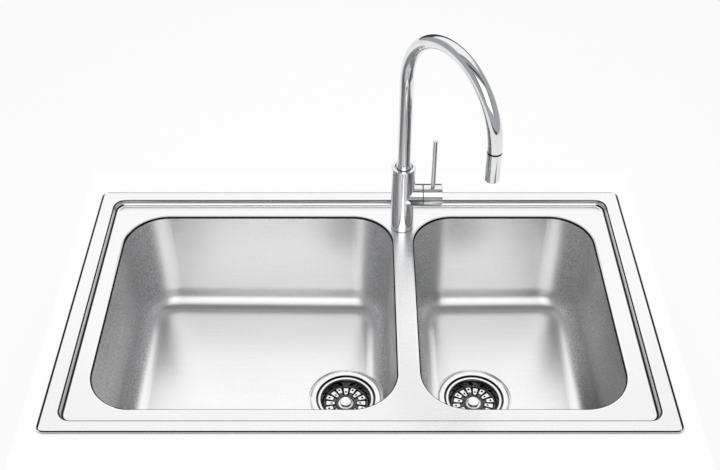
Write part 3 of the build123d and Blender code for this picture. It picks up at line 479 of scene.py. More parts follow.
# Of each plain finish: colour, metallic, roughness, mottling, its scale, and bump
PLAIN_FINISHES = {
    "clip_steel": ((0.62, 0.63, 0.65, 1), 1.0, 0.38, 0.1, 200.0, 0.1),
    "screw_steel": ((0.3, 0.3, 0.32, 1), 1.0, 0.35, 0.1, 600.0, 0.1),
    "brass": ((0.72, 0.53, 0.25, 1), 1.0, 0.26, 0.08, 400.0, 0.06),
    "black_rubber": (grey(0.03), 0.0, 0.55, 0.2, 500.0, 0.2),
    "waste_plastic": (grey(0.045), 0.0, 0.4, 0.12, 260.0, 0.12),
    "black_plastic": (grey(0.02), 0.0, 0.35, 0.1, 300.0, 0.08),
    "white_plastic": (grey(0.8), 0.0, 0.4, 0.04, 300.0, 0.06),
}


def make_finishes(looks):
    """Every finish: those of the record's material slots by the slot's name, and a few pieces' own."""
    finishes = {name: plain_finish(name, *look) for name, look in PLAIN_FINISHES.items()}
    finishes["sink_steel"] = deck_finish("deck_steel", looks)
    finishes["bowl_steel"] = bowl_finish("bowl_steel", looks)
    finishes["foam_seal"] = open_foam("foam_seal", grey(0.10))
    finishes["pad_rubber"] = pressed_pad("pad_rubber", grey(0.13))
    finishes["hose_braid"] = braided_hose("hose_braid", grey(0.12))
    chrome = (grey(looks.chrome_tone, 0.01), 1.0, looks.chrome_roughness, 0.04, 60.0, 0.004)
    finishes["chrome"] = plain_finish("chrome", *chrome)
    # The spray head's chrome carries a painted gap shadow at its top.
    finishes["chrome_head"] = plain_finish("chrome_head", *chrome, painted_gap_shadow=ends_of("spray_head")[1].z)
    for size, centre in DRAINS.items():
        name = "strainer_steel_" + size
        strainer = (looks.strainer_tone, looks.strainer_roughness)
        finishes[name] = turned_steel(name, centre, *strainer)
    return finishes


# Every finish by name, once they are made
FINISHES = {}

# The pieces whose finish isn't the one of their slot
OWN_FINISHES = {
    "large_bowl": "bowl_steel",
    "small_bowl": "bowl_steel",
    "spray_head": "chrome_head",
    "dock_ring": "chrome_head",
}


def finish_for(slot, size=""):
    """The finish of a slot. The strainers' finish is centred on each drain."""
    return FINISHES[slot + "_" + size if slot == "strainer_steel" else slot]


# ------------------------------------------------------------------ workbench


def clear_bench():
    """Leaves edit mode with nothing selected, so that an operator acts on the next piece alone."""
    if bpy.context.mode != "OBJECT":
        bpy.ops.object.mode_set(mode="OBJECT")
    bpy.ops.object.select_all(action="DESELECT")


def work_on(piece):
    """Makes one mesh the only selected object."""
    clear_bench()
    piece.select_set(True)
    bpy.context.view_layer.objects.active = piece


def edit_all(piece):
    """Opens one mesh in edit mode with all of it selected."""
    work_on(piece)
    bpy.ops.object.mode_set(mode="EDIT")
    bpy.ops.mesh.select_all(action="SELECT")


def pick(piece, kind, wanted):
    """In edit mode, selects the faces or edges whose middle passes the test."""
    bpy.ops.mesh.select_mode(type={"faces": "FACE", "edges": "EDGE"}[kind])
    bpy.ops.mesh.select_all(action="DESELECT")
    shape = bmesh.from_edit_mesh(piece.data)
    for element in getattr(shape, kind):
        corners = [corner.co for corner in element.verts]
        element.select_set(wanted(sum(corners, Vector()) / len(corners)))
    shape.select_flush_mode()
    bmesh.update_edit_mesh(piece.data)


def add_block(name, middle, size):
    """A block at its size and place, in metres. The only selected object."""
    clear_bench()
    bpy.ops.mesh.primitive_cube_add(size=1.0, location=middle)
    block = bpy.context.object
    block.name = block.data.name = name
    block.scale = size
    bpy.ops.object.transform_apply(location=True, rotation=True, scale=True)
    return block


def line_piece(name, points):
    """A wire through the points, in edit mode with all of it selected."""
    clear_bench()
    bpy.ops.mesh.primitive_plane_add(size=0.001, location=(0, 0, 0))
    piece = bpy.context.object
    piece.name = piece.data.name = name
    bpy.ops.object.mode_set(mode="EDIT")
    bpy.ops.mesh.select_mode(type="VERT")
    bpy.ops.mesh.select_all(action="SELECT")
    bpy.ops.mesh.merge(type="CENTER")
    bpy.ops.transform.translate(value=points[0])
    for before, after in zip(points, points[1:]):
        step = Vector(after) - Vector(before)
        bpy.ops.mesh.extrude_region_move(TRANSFORM_OT_translate={"value": step})
    bpy.ops.mesh.select_all(action="SELECT")
    return piece


def turned_piece(name, axis, profile, steps):
    """A profile of (radius, height) in millimetres, turned round an upright axis. Left in edit mode
    with all of it selected."""
    x, y, z = axis
    piece = line_piece(name, [(x + radius * MM, y, z + height * MM) for radius, height in profile])
    bpy.ops.mesh.spin(steps=steps, angle=2 * math.pi, center=axis, axis=(0, 0, 1))
    bpy.ops.mesh.select_all(action="SELECT")
    bpy.ops.mesh.remove_doubles(threshold=1e-6)
    bpy.ops.mesh.normals_make_consistent(inside=False)
    return piece


def thread_piece(name, foot, radius, depth, pitch, turns, steps):
    """A helical thread's ridge that stands on a radius and climbs from the axis's foot. Radius,
    depth and pitch are in millimetres."""
    crest = radius + depth
    ridge = [(radius, 0), (crest, pitch * 0.35), (crest, pitch * 0.5), (radius, pitch * 0.85)]
    piece = line_piece(name, [(out * MM, 0, up * MM) for out, up in ridge])
    bpy.ops.object.mode_set(mode="OBJECT")
    apply_modifier(piece, "SCREW", axis="Z", screw_offset=pitch * MM, iterations=turns, steps=steps,
                   render_steps=steps, use_merge_vertices=True, use_normal_calculate=True)
    piece.location = foot
    bpy.ops.object.transform_apply(location=True, rotation=True, scale=True)
    return piece


def apply_modifier(piece, kind, **settings):
    """Adds a modifier with these settings and applies it."""
    work_on(piece)
    modifier = piece.modifiers.new(kind.title(), kind)
    for key, value in settings.items():
        setattr(modifier, key, value)
    bpy.ops.object.modifier_apply(modifier=modifier.name)


def copy_round(axis, count):
    """In edit mode, copies all of the mesh round an upright axis until it is there count times."""
    bpy.ops.mesh.select_all(action="SELECT")
    arc = 2 * math.pi * (count - 1) / count
    bpy.ops.mesh.spin(steps=count - 1, angle=arc, dupli=True, center=axis, axis=(0, 0, 1))


def join_pieces(piece, others):
    """Joins the others to a piece, which keeps its name."""
    clear_bench()
    for part in (*others, piece):
        part.select_set(True)
    bpy.context.view_layer.objects.active = piece
    bpy.ops.object.join()


def face_up(piece):
    """In edit mode, turns the mesh's faces over if most of them look down."""
    shape = bmesh.from_edit_mesh(piece.data)
    if sum(face.normal.z * face.calc_area() for face in shape.faces) < 0:
        bpy.ops.mesh.select_all(action="SELECT")
        bpy.ops.mesh.flip_normals()


def turn_in_place(piece, axis, degrees):
    """Turns a piece's mesh round an upright axis."""
    edit_all(piece)
    bpy.ops.transform.rotate(value=math.radians(degrees), orient_axis="Z", center_override=axis)
    bpy.ops.object.mode_set(mode="OBJECT")


def small_twin(piece):
    """A copy, with its own mesh, of a piece of the large bowl's drain for the small bowl's."""
    twin = piece.copy()
    twin.data = piece.data.copy()
    twin.name = twin.data.name = piece.name.replace("large", "small")
    bpy.context.scene.collection.objects.link(twin)
    edit_all(twin)
    bpy.ops.transform.translate(value=DRAINS["small"] - DRAINS["large"])
    bpy.ops.object.mode_set(mode="OBJECT")
    return twin


def finish_piece(piece, body, slot, replaced=(), angle=40.0, size=""):
    """Smooths a piece, gives it its slot's finish, and lets it ride on its body."""
    work_on(piece)
    bpy.ops.object.transform_apply(location=True, rotation=True, scale=True)
    bpy.ops.object.shade_smooth_by_angle(angle=math.radians(angle))
    piece.data.materials.clear()
    piece.data.materials.append(finish_for(slot, size))
    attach(piece, body)
    if replaced:
        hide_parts(*replaced)
    clear_bench()


def finish_pair(pieces, bodies, slot, node, angle=40.0):
    """Finishes the large and the small drain's copy of a piece, each in place of its own node."""
    for size, piece, body in zip(DRAINS, pieces, bodies):
        finish_piece(piece, body, slot, [size + "_" + node], angle, size)


# ------------------------------------------------------------------ sizes and looks

# What every number from 0 to 1 has in the sidebar
SHARE = {"min": 0, "max": 1, "subtype": "FACTOR"}


class SinkSizes(bpy.types.PropertyGroup):
    tongue_rise: bpy.props.FloatProperty(
        name="Tongue rise", description="Height of the tongues pressed in the basket's floor",
        default=0.0012, unit="LENGTH")
    basket_sheet: bpy.props.FloatProperty(
        name="Basket sheet", description="Thickness of the basket's sheet",
        default=0.0008, unit="LENGTH")
    outlet_pitch: bpy.props.FloatProperty(
        name="Outlet pitch", description="Pitch of the thread on the waste's outlet",
        default=0.0025, unit="LENGTH")
    shank_pitch: bpy.props.FloatProperty(
        name="Shank pitch", description="Pitch of the thread on the tap's shank",
        default=0.0015, unit="LENGTH")
    clip_screw_pitch: bpy.props.FloatProperty(
        name="Clip screw pitch", description="Pitch of the thread on the clips' screws",
        default=0.0008, unit="LENGTH")
    hose_rib: bpy.props.FloatProperty(
        name="Hose rib", description="Height of the spray hose's ribs",
        default=0.0002, unit="LENGTH")


class SinkLooks(bpy.types.PropertyGroup):
    deck_tone: bpy.props.FloatProperty(
        name="Deck tone", description="Reflectance of the deck's steel",
        default=0.9, **SHARE)
    deck_roughness: bpy.props.FloatProperty(
        name="Deck roughness", description="Roughness of the deck",
        default=0.28, **SHARE)
    # The near black of the painted shade lines on the rolled edges and on the bowls' mouths
    painted_edge_tone: bpy.props.FloatProperty(
        name="Edge tone", description="Reflectance of the rolled edges",
        default=0.02, **SHARE)
    bowl_tone: bpy.props.FloatProperty(
        name="Bowl tone", description="Reflectance of the bowls' steel",
        default=0.96, **SHARE)
    # The end walls' painted shade: the share of the bowl tone they keep at the back
    painted_end_shade: bpy.props.FloatProperty(
        name="End wall tone", description="Share of it that the bowls' end walls have",
        default=0.92, **SHARE)
    floor_tone: bpy.props.FloatProperty(
        name="Bowl floor tone", description="Reflectance of the bowls' floors in front",
        default=0.95, **SHARE)
    # The painted shade at the back of the bowls' floors: the share of their tone kept there
    painted_floor_shade: bpy.props.FloatProperty(
        name="Bowl floor fade", description="Share of it that the floors have at the back",
        default=0.66, **SHARE)
    bowl_roughness: bpy.props.FloatProperty(
        name="Bowl roughness", description="Roughness of the bowls",
        default=0.3, **SHARE)
    grain_strength: bpy.props.FloatProperty(
        name="Grain", description="Depth of the ground grain",
        default=0.12, **SHARE)
    strainer_tone: bpy.props.FloatProperty(
        name="Strainer tone", description="Reflectance of the strainers",
        default=0.88, **SHARE)
    strainer_roughness: bpy.props.FloatProperty(
        name="Strainer roughness", description="Roughness of the strainers",
        default=0.1, **SHARE)
    chrome_tone: bpy.props.FloatProperty(
        name="Chrome tone", description="Reflectance of the chrome",
        default=0.8, **SHARE)
    chrome_roughness: bpy.props.FloatProperty(
        name="Chrome roughness", description="Roughness of the chrome",
        default=0.06, **SHARE)


class StudioSetup(bpy.types.PropertyGroup):
    camera_height: bpy.props.FloatProperty(
        name="Camera height", description="Camera above the worktop",
        default=1.114274, unit="LENGTH")
    camera_distance: bpy.props.FloatProperty(
        name="Camera distance", description="Camera in front of the sink's middle",
        default=1.11013, unit="LENGTH")
    camera_pitch: bpy.props.FloatProperty(
        name="Camera pitch", description="Camera's tilt below the horizon",
        default=math.radians(41.590), unit="ROTATION")
    camera_lens: bpy.props.FloatProperty(
        name="Lens", description="Focal length in millimetres on a 36 mm sensor",
        default=52.489)
    front_glow: bpy.props.FloatProperty(
        name="Front panel", description="Brightness of the panel in front",
        default=1.6)
    front_width: bpy.props.FloatProperty(
        name="Front panel's half width", description="As a share of the distance to it",
        default=0.35)
    back_glow: bpy.props.FloatProperty(
        name="Back panel", description="Brightness of the panel behind",
        default=1.04)
    top_glow: bpy.props.FloatProperty(
        name="Ceiling", description="Brightness of the ceiling",
        default=0.36)
    low_glow: bpy.props.FloatProperty(
        name="Front wall", description="Brightness under the front panel",
        default=0.4)
    side_glow: bpy.props.FloatProperty(
        name="Side walls", description="Brightness of the walls left and right",
        default=0.38)
    lamp_power: bpy.props.FloatProperty(
        name="Lamp", description="Power of the lamp overhead, in watts",
        default=22.0)
    shadow: bpy.props.FloatProperty(
        name="Shadow", description="How much of its shadow the white floor shows",
        default=0.2, **SHARE)


# ------------------------------------------------------------------ pieces

# The sizes below are in millimetres. A profile's pairs are a radius and a height from the piece's
# place: the top of the drain's flange, or the middle of the underside of the node it replaces.


class SINK_OT_finishes(bpy.types.Operator):
    """Gives each piece of the frame its finish"""

    bl_idname = "sink.finishes"
    bl_label = "Finishes"

    def execute(self, context):
        FINISHES.update(make_finishes(context.scene.sink_looks))
        slots = {part["node"]: part["material_slot"] for part in frame["record"]["subparts"]}
        for name, piece in frame["nodes"].items():
            finish = finish_for(OWN_FINISHES.get(name, slots[name]), name.split("_")[0])
            piece.data.materials.clear()
            piece.data.materials.append(finish)
        return {"FINISHED"}


class SINK_OT_baskets(bpy.types.Operator):
    """Presses the strainer baskets: a rolled rim, and a slotted floor with raised tongues"""

    bl_idname = "sink.baskets"
    bl_label = "Baskets"

    SECTORS = 16
    STEPS = 128
    PITCH = STEPS // SECTORS
    PROFILE = (
        (9.0, -13.6), (12.8, -13.6), (13.7, -14.2), (14.7, -14.2), (15.6, -13.6), (17.5, -13.5),
        (19.5, -13.5), (21.5, -13.5), (24.5, -13.5), (27.5, -13.5), (30.0, -13.5), (32.0, -13.5),
        (34.0, -13.5), (35.0, -13.4), (36.0, -12.9), (36.6, -11.2), (37.4, -7.8), (38.2, -4.4),
        (38.9, -2.8), (39.8, -2.0), (41.0, -1.9), (43.6, -1.9), (44.9, -2.0), (45.5, -2.4),
        (45.6, -2.8))

    # Inner and outer radius of the slots, and of the tongues and holes in even and in odd sectors
    SLOTS = (15.6, 34.0)
    TONGUES = ((17.5, 32.0), (21.5, 34.0))
    HOLES = ((21.5, 24.5), (27.5, 30.0))

    def place_of(self, middle):
        """A face's radius in millimetres, its step in its sector, and if the sector is odd."""
        across = (middle - DRAINS["large"]).to_2d()
        turn = math.atan2(across.y, across.x) % (2 * math.pi)
        step = int(turn / (2 * math.pi) * self.STEPS)
        odd = (step + self.PITCH // 2) // self.PITCH % 2
        return across.length / MM, step % self.PITCH, odd

    def in_slot(self, middle):
        radius, step, _ = self.place_of(middle)
        inner, outer = self.SLOTS
        return inner < radius < outer and step in (self.PITCH // 2 - 1, self.PITCH // 2)

    def in_tongue(self, middle):
        radius, _, odd = self.place_of(middle)
        inner, outer = self.TONGUES[odd]
        return inner < radius < outer

    def in_hole(self, middle):
        radius, step, odd = self.place_of(middle)
        inner, outer = self.HOLES[odd]
        return inner < radius < outer and step in (0, self.PITCH - 1)

    def execute(self, context):
        sizes = context.scene.sink_sizes
        basket = turned_piece("large_pressed_basket", DRAINS["large"], self.PROFILE, self.STEPS)
        face_up(basket)
        pick(basket, "faces", self.in_slot)
        bpy.ops.mesh.delete(type="FACE")
        pick(basket, "faces", self.in_tongue)
        rise = {"value": (0, 0, sizes.tongue_rise)}
        bpy.ops.mesh.extrude_region_move(TRANSFORM_OT_translate=rise)
        pick(basket, "faces", self.in_hole)
        bpy.ops.mesh.delete(type="FACE")
        apply_modifier(basket, "SOLIDIFY", thickness=sizes.basket_sheet, offset=-1.0)
        apply_modifier(basket, "SUBSURF", levels=1, render_levels=1)
        twin = small_twin(basket)
        turn_in_place(twin, DRAINS["small"], 180 / self.SECTORS)
        finish_pair((basket, twin), BASKET_BODIES, "strainer_steel", "basket", angle=50)
        return {"FINISHED"}


class SINK_OT_basket_knobs(bpy.types.Operator):
    """Turns the knobs that lift the baskets"""

    bl_idname = "sink.basket_knobs"
    bl_label = "Basket knobs"

    PROFILE = (
        (0, -21.7), (3.3, -21.7), (3.5, -21.5), (3.5, -14.8), (4.0, -14.6), (11.8, -13.65),
        (12.4, -13.5), (12.6, -13.2), (12.4, -12.85), (11.6, -12.6), (8.4, -11.9), (5.9, -11.2),
        (5.2, -10.6), (5.2, -10.0), (5.7, -9.75), (8.6, -9.5), (9.3, -9.3), (9.6, -8.95), (9.5, -8.5),
        (9.0, -8.15), (7.8, -7.8), (5.6, -7.55), (3.0, -7.43), (1.0, -7.4), (0, -7.4))

    def execute(self, context):
        knob = turned_piece("large_turned_knob", DRAINS["large"], self.PROFILE, 64)
        apply_modifier(knob, "SUBSURF", levels=1, render_levels=1)
        finish_pair((knob, small_twin(knob)), BASKET_BODIES, "strainer_steel", "basket_knob")
        return {"FINISHED"}


class SINK_OT_wastes(bpy.types.Operator):
    """Moulds the waste bodies: funnel, gussets under the flange, and a threaded outlet"""

    bl_idname = "sink.wastes"
    bl_label = "Waste bodies"

    PROFILE = (
        (48.6, -5.2), (56.2, -5.2), (56.5, -5.5), (56.5, -7.9), (56.2, -8.2), (52.0, -8.2),
        (51.3, -8.5), (51.1, -9.2), (51.1, -37.6), (50.8, -38.5), (50.0, -39.3), (28.0, -51.8),
        (26.4, -52.6), (23.4, -52.8), (22.9, -53.3), (22.9, -80.1), (22.3, -80.7), (20.5, -80.7),
        (20.0, -80.2), (20.0, -50.2), (48.6, -36.2), (48.6, -5.2))
    POST = ((3.1, -28.1), (6.0, -28.1), (6.0, -50.2), (3.1, -50.2), (3.1, -28.1))
    OUTLET_FOOT = -79.5
    OUTLET_LENGTH = 24.5
    OUTLET_RADIUS = 22.8
    THREAD_DEPTH = 1.05

    # Of the gussets and ribs: radii, heights, thickness
    GUSSET = ((50.9, 55.9), (-8.1, -34.0), 2.0)
    GUSSET_TAPER = 4.6
    GUSSETS = 12
    RIB = ((5.5, 49.5), (-29.2, -36.2), 3.0)
    RIBS = 3
    WEB_BEVEL = 0.4

    def execute(self, context):
        axis = DRAINS["large"]
        body = turned_piece("large_moulded_waste", axis, self.PROFILE, 96)
        post = turned_piece("post", axis, self.POST, 32)
        pitch = context.scene.sink_sizes.outlet_pitch / MM
        turns = int(self.OUTLET_LENGTH / pitch)
        foot = axis + Vector((0, 0, self.OUTLET_FOOT * MM))
        thread = thread_piece(
            "thread", foot, self.OUTLET_RADIUS, self.THREAD_DEPTH, pitch, turns, 64)
        gusset = self.web("gusset", axis, *self.GUSSET)
        reach, heights, _ = self.GUSSET
        corner = axis + Vector((reach[1] - 1, 0, heights[1] + 1)) * MM
        pick(gusset, "edges", lambda middle: middle.x > corner.x and middle.z < corner.z)
        bpy.ops.transform.translate(value=(-self.GUSSET_TAPER * MM, 0, 0))
        copy_round(axis, self.GUSSETS)
        rib = self.web("rib", axis, *self.RIB)
        copy_round(axis, self.RIBS)
        join_pieces(body, [post, thread, gusset, rib])
        pair = (body, small_twin(body))
        finish_pair(pair, ("sink", "sink"), "waste_plastic", "waste_body", angle=35)
        return {"FINISHED"}

    def web(self, name, axis, reach, heights, thickness):
        """An upright plate that stands out from the axis along X. Left in edit mode."""
        (inner, outer), (top, bottom) = reach, heights
        middle = axis + Vector(((inner + outer) / 2, 0, (top + bottom) / 2)) * MM
        plate = add_block(name, middle, Vector((outer - inner, thickness, top - bottom)) * MM)
        apply_modifier(plate, "BEVEL", width=self.WEB_BEVEL * MM, segments=2)
        bpy.ops.object.mode_set(mode="EDIT")
        return plate


class SINK_OT_shank_thread(bpy.types.Operator):
    """Cuts the thread on the tap's shank below the nut"""

    bl_idname = "sink.shank_thread"
    bl_label = "Shank thread"

    START = 0.4                 # over the shank's foot
    SUNK = 0.1                  # into the shank
    DEPTH = 0.6

    def execute(self, context):
        foot = ends_of("tap_shank")[0]
        nut_foot = ends_of("shank_nut")[0]
        pitch = context.scene.sink_sizes.shank_pitch / MM
        turns = int((nut_foot.z - foot.z) / MM / pitch) - 1
        start = foot + Vector((0, 0, self.START * MM))
        root = radius_of("tap_shank") - self.SUNK
        thread = thread_piece("shank_thread", start, root, self.DEPTH, pitch, turns, 64)
        finish_piece(thread, "sink", "brass")
        return {"FINISHED"}


class SINK_OT_clip_screws(bpy.types.Operator):
    """Cuts the ten clip screws: slotted heads and threaded stems"""

    bl_idname = "sink.clip_screws"
    bl_label = "Clip screws"

    HEAD = 4.5                  # radius
    PROFILE = (
        (0, 0), (3.4, 0), (4.1, 0.3), (4.45, 0.9), (HEAD, 1.4), (HEAD, 2.7), (4.2, 3.0), (2.15, 3.0),
        (2.15, 31.9), (1.6, 32.5), (0, 32.5))
    SLOT = (1.2, 12.0, 2.6)     # its cutter's sides
    THREAD_START = 3.2
    THREAD_LENGTH = 28.0
    THREAD_ROOT = 2.1
    THREAD_DEPTH = 0.4

    # Places of the clips along the long sides and along the ends
    ALONG_SIDES = (-290.0, 0.0, 290.0)
    ALONG_ENDS = (-110.0, 110.0)

    def places(self):
        """Where the screws stand."""
        low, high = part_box("clip_screws")
        left, right = low.x + self.HEAD * MM, high.x - self.HEAD * MM
        front, back = low.y + self.HEAD * MM, high.y - self.HEAD * MM
        sides = [(x * MM, y) for x in self.ALONG_SIDES for y in (front, back)]
        ends = [(x, y * MM) for x in (left, right) for y in self.ALONG_ENDS]
        return [Vector((x, y, low.z)) for x, y in sides + ends]

    def execute(self, context):
        places = self.places()
        screw = turned_piece("threaded_clip_screws", places[0], self.PROFILE, 24)
        cutter = add_block("cutter", places[0], Vector(self.SLOT) * MM)
        apply_modifier(screw, "BOOLEAN", object=cutter)
        bpy.data.objects.remove(cutter)
        pitch = context.scene.sink_sizes.clip_screw_pitch / MM
        turns = int(self.THREAD_LENGTH / pitch)
        start = places[0] + Vector((0, 0, self.THREAD_START * MM))
        thread = thread_piece(
            "thread", start, self.THREAD_ROOT, self.THREAD_DEPTH, pitch, turns, 12)
        join_pieces(screw, [thread])
        edit_all(screw)
        for before, after in zip(places, places[1:]):
            bpy.ops.mesh.duplicate_move(TRANSFORM_OT_translate={"value": after - before})
        finish_piece(screw, "sink", "clip_steel", ["clip_screws"])
        return {"FINISHED"}


class SINK_OT_spray_hose(bpy.types.Operator):
    """Weaves the spray's hose, which draws out of the spout"""

    bl_idname = "sink.spray_hose"
    bl_label = "Spray hose"

    RINGS = 120
    STRETCH_TOP = 1.0           # below the hose's top
    STRETCH_FOOT = 11.0         # below the spout's mouth

    def execute(self, context):
        foot, top = ends_of("pullout_hose")
        radius = radius_of("pullout_hose")
        length = (top.z - foot.z) / MM
        rib = context.scene.sink_sizes.hose_rib / MM
        profile = [(0, 0)]
        for ring in range(self.RINGS + 1):
            profile.append((radius - rib * (ring % 2), length * ring / self.RINGS))
        profile.append((0, length))
        hose = turned_piece("woven_hose", foot, profile, 32)
        bpy.ops.object.mode_set(mode="OBJECT")
        sleeve = hose.data.uv_layers.new(name="sleeve")
        for loop in hose.data.loops:
            point = hose.data.vertices[loop.vertex_index].co
            turn = math.atan2(point.y - foot.y, point.x - foot.x) / (2 * math.pi)
            sleeve.data[loop.index].uv = (turn % 1.0, (point.z - foot.z) / (top.z - foot.z))
        hose.data.materials.append(finish_for("hose_braid"))
        work_on(hose)
        bpy.ops.object.shade_smooth()
        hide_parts("pullout_hose")
        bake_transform(hose)
        clear_bench()
        return {"FINISHED"}


class SINK_OT_aerator(bpy.types.Operator):
    """Moulds the spray's face: rings and soft nozzles"""

    bl_idname = "sink.aerator"
    bl_label = "Spray face"

    FACE = (
        (0, 1.6), (6.9, 1.6), (7.1, 0.9), (7.6, 0.9), (7.8, 0.3), (8.2, 0.0), (8.5, 0.3), (8.5, 7.8),
        (8.3, 8.0), (0, 8.0))
    NOZZLE = ((0.35, 1.7), (0.35, 0.5), (0.5, 0.4), (0.75, 0.5), (1.0, 1.7))
    NOZZLE_RINGS = ((0.0, 1), (2.6, 6), (5.2, 12))      # radius and number of each ring's nozzles

    def execute(self, context):
        axis = ends_of("spray_aerator")[0]
        face = turned_piece("moulded_spray_face", axis, self.FACE, 64)
        nozzles = []
        for radius, count in self.NOZZLE_RINGS:
            place = axis + Vector((radius * MM, 0, 0))
            nozzles.append(turned_piece("nozzle", place, self.NOZZLE, 10))
            if count > 1:
                copy_round(axis, count)
        join_pieces(face, nozzles)
        finish_piece(face, "spray", "white_plastic", ["spray_aerator"])
        return {"FINISHED"}


# ------------------------------------------------------------------ stage

# The studio's bright bands, in degrees round the X axis from level behind the sink, over the top
BACK_PANEL = (23, 82)
CEILING = (86, 117)
CEILING_GAP = (99, 108)
FRONT_PANEL = (117, 156)
FRONT_WALL = (156, 200)
PANEL_EDGE = 3
GAP_EDGE = 2

# How far a direction leans to the side, from 0 to 1: where the side walls start, and by how much
# more than its half width the front panel takes to fade
SIDE_WALLS = (0.45, 0.65)
FRONT_PANEL_FADE = 0.14

DIMMEST = 0.05              # brightness between the bands


def studio_wall(studio):
    """The studio's walls as metal sees them: a panel behind, one in front, and darker sides."""
    recipe = Recipe(bpy.data.materials.new("studio_wall"))
    where = recipe.node("ShaderNodeTexCoord", output="Object")
    aim = recipe.node("ShaderNodeVectorMath", {"operation": "NORMALIZE"}, (where,))
    x, y, z = recipe.split(aim)
    side = abs(x)
    arc = z.arc_from(y)
    walls = side.ramp(*SIDE_WALLS)
    inner = 1 - walls
    front_side = 1 - side.ramp(studio.front_width, studio.front_width + FRONT_PANEL_FADE)
    ceiling = arc.between(*CEILING, PANEL_EDGE) - arc.between(*CEILING_GAP, GAP_EDGE)
    light = (arc.between(*BACK_PANEL, PANEL_EDGE) * inner * studio.back_glow
             + ceiling * inner * studio.top_glow
             + arc.between(*FRONT_PANEL, PANEL_EDGE) * front_side * studio.front_glow
             + arc.between(*FRONT_WALL, PANEL_EDGE) * inner * studio.low_glow
             + walls * studio.side_glow + DIMMEST)
    tint = recipe.blend(light.ramp(0.3, 1.0), (0.97, 0.98, 1.02, 1), (1, 1, 1, 1))
    sockets = {"Vector": tint, "Scale": light}
    glow = recipe.node("ShaderNodeVectorMath", {"operation": "SCALE"}, sockets)
    recipe.surface({"Base Color": (0, 0, 0, 1), "Roughness": 1.0, "Specular IOR Level": 0.0,
                    "Emission Color": glow, "Emission Strength": 1.0})
    recipe.owner.cycles.emission_sampling = "NONE"
    return recipe.owner


def pale_stage(name, shadow):
    """A white surface that shows its shadows by the share given, and looks white in gloss too."""
    recipe = Recipe(bpy.data.materials.new(name))
    speckle = recipe.noise(40.0, detail=2.0)
    shader = recipe.tree.nodes["Principled BSDF"]
    recipe.plug(shader.inputs["Base Color"], recipe.blend(speckle, grey(0.92), grey(0.96)))
    recipe.plug(shader.inputs["Roughness"], 0.9)
    glow = recipe.node("ShaderNodeEmission", None, {"Color": (1, 1, 1, 1), "Strength": 1.0})
    lit = Signal(recipe, shader.outputs[0])
    factor = recipe.seen_directly() * (1 - shadow)
    mixed = recipe.node("ShaderNodeMixShader", None, (factor, lit, glow))
    recipe.plug(recipe.tree.nodes["Material Output"].inputs["Surface"], mixed)
    return recipe.owner


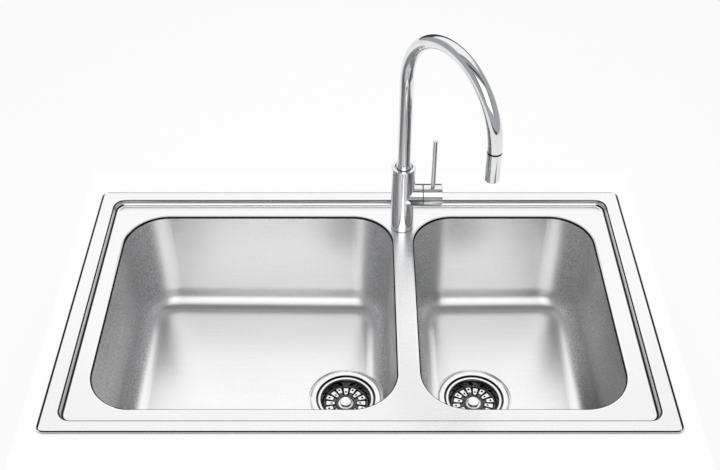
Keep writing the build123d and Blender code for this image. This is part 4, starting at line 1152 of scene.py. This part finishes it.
class SINK_OT_stage(bpy.types.Operator):
    """Adds the worktop panel, the floor, the studio's walls, the lamp and the camera"""

    bl_idname = "sink.stage"
    bl_label = "Stage"

    # In metres
    WALL_RADIUS = 5.0
    FLOOR_SIZE = 9.0
    FLOOR_Y = 0.6
    WORKTOP = (0.91, 0.64)
    WORKTOP_Y = -0.01
    WORKTOP_THICKNESS = 0.038
    CUT_OUT = (0.84, 0.48, 0.3)
    LAMP_SIZE = (1.4, 2.4)
    LAMP_PLACE = (0, 0.3, 1.9)
    SENSOR = 36.0               # millimetres

    def execute(self, context):
        scene = context.scene
        studio = scene.sink_studio
        scene.view_settings.view_transform = "Standard"
        self.light_world(scene)
        self.build_wall(studio)
        pale = pale_stage("pale_stage", studio.shadow)
        self.lay_floor(pale)
        self.lay_worktop(pale)
        self.hang_lamp(scene, studio)
        self.set_camera(scene, studio)
        return {"FINISHED"}

    def light_world(self, scene):
        scene.world = bpy.data.worlds.new("studio")
        recipe = Recipe(scene.world)
        colour = recipe.blend(recipe.seen_directly(), (0.62, 0.62, 0.63, 1), (1, 1, 1, 1))
        recipe.plug(recipe.tree.nodes["Background"].inputs["Color"], colour)

    def build_wall(self, studio):
        """A shell round the scene that only gloss sees."""
        clear_bench()
        bpy.ops.mesh.primitive_uv_sphere_add(
            segments=48, ring_count=24, radius=self.WALL_RADIUS, location=(0, 0, 0))
        wall = bpy.context.object
        wall.name = "studio_wall"
        wall.data.materials.append(studio_wall(studio))
        wall.visible_camera = False
        wall.visible_diffuse = False
        wall.visible_shadow = False
        wall.visible_transmission = False

    def lay_floor(self, pale):
        clear_bench()
        place = (0, self.FLOOR_Y, cad_low.z)
        bpy.ops.mesh.primitive_plane_add(size=self.FLOOR_SIZE, location=place)
        floor = bpy.context.object
        floor.name = "floor"
        floor.data.materials.append(pale)

    def lay_worktop(self, pale):
        """A panel round the sink, with the cut-out that the sink hangs in."""
        clear_bench()
        bpy.ops.mesh.primitive_plane_add(size=1.0, location=(0, 0, 0))
        top = bpy.context.object
        top.name = "worktop"
        bpy.ops.object.mode_set(mode="EDIT")
        bpy.ops.transform.resize(value=(*self.WORKTOP, 1))
        bpy.ops.transform.translate(value=(0, self.WORKTOP_Y, 0))
        cutter = add_block("cutter", (0, 0, 0), self.CUT_OUT)
        apply_modifier(top, "SOLIDIFY", thickness=self.WORKTOP_THICKNESS, offset=-1)
        apply_modifier(top, "BOOLEAN", object=cutter)
        bpy.data.objects.remove(cutter)
        top.data.materials.append(pale)
        clear_bench()

    def hang_lamp(self, scene, studio):
        light = bpy.data.lights.new("overhead", "AREA")
        light.shape = "RECTANGLE"
        light.size, light.size_y = self.LAMP_SIZE
        light.energy = studio.lamp_power
        lamp = bpy.data.objects.new("overhead", light)
        lamp.location = self.LAMP_PLACE
        lamp.visible_glossy = False
        scene.collection.objects.link(lamp)

    def set_camera(self, scene, studio):
        lens = bpy.data.cameras.new("camera")
        lens.lens = studio.camera_lens
        lens.sensor_width = self.SENSOR
        camera = bpy.data.objects.new("camera", lens)
        camera.location = (0, -studio.camera_distance, studio.camera_height)
        camera.rotation_euler = (math.radians(90) - studio.camera_pitch, 0, 0)
        scene.collection.objects.link(camera)
        scene.camera = camera


# ------------------------------------------------------------------ sidebar


class SINK_PT_sidebar(bpy.types.Panel):
    bl_label = "Double bowl sink"
    bl_space_type = "VIEW_3D"
    bl_region_type = "UI"
    bl_category = "Sink"

    def draw(self, context):
        for operator in OPERATORS:
            self.layout.operator(operator.bl_idname)
        for group in (context.scene.sink_sizes, context.scene.sink_looks, context.scene.sink_studio):
            box = self.layout.box()
            for name in group.__annotations__:
                box.prop(group, name)


OPERATORS = (
    SINK_OT_finishes, SINK_OT_baskets, SINK_OT_basket_knobs, SINK_OT_wastes, SINK_OT_shank_thread,
    SINK_OT_clip_screws, SINK_OT_spray_hose, SINK_OT_aerator, SINK_OT_stage)
CLASSES = (SinkSizes, SinkLooks, StudioSetup, *OPERATORS, SINK_PT_sidebar)


def register():
    for item in CLASSES:
        bpy.utils.register_class(item)
    bpy.types.Scene.sink_sizes = bpy.props.PointerProperty(type=SinkSizes)
    bpy.types.Scene.sink_looks = bpy.props.PointerProperty(type=SinkLooks)
    bpy.types.Scene.sink_studio = bpy.props.PointerProperty(type=StudioSetup)


def unregister():
    del bpy.types.Scene.sink_studio
    del bpy.types.Scene.sink_looks
    del bpy.types.Scene.sink_sizes
    for item in reversed(CLASSES):
        bpy.utils.unregister_class(item)


def main():
    register()
    bpy.ops.sink.finishes()
    bpy.ops.sink.baskets()
    bpy.ops.sink.basket_knobs()
    bpy.ops.sink.wastes()
    bpy.ops.sink.shank_thread()
    bpy.ops.sink.clip_screws()
    bpy.ops.sink.spray_hose()
    bpy.ops.sink.aerator()
    bpy.ops.sink.stage()


if __name__ == "__main__":
    main()
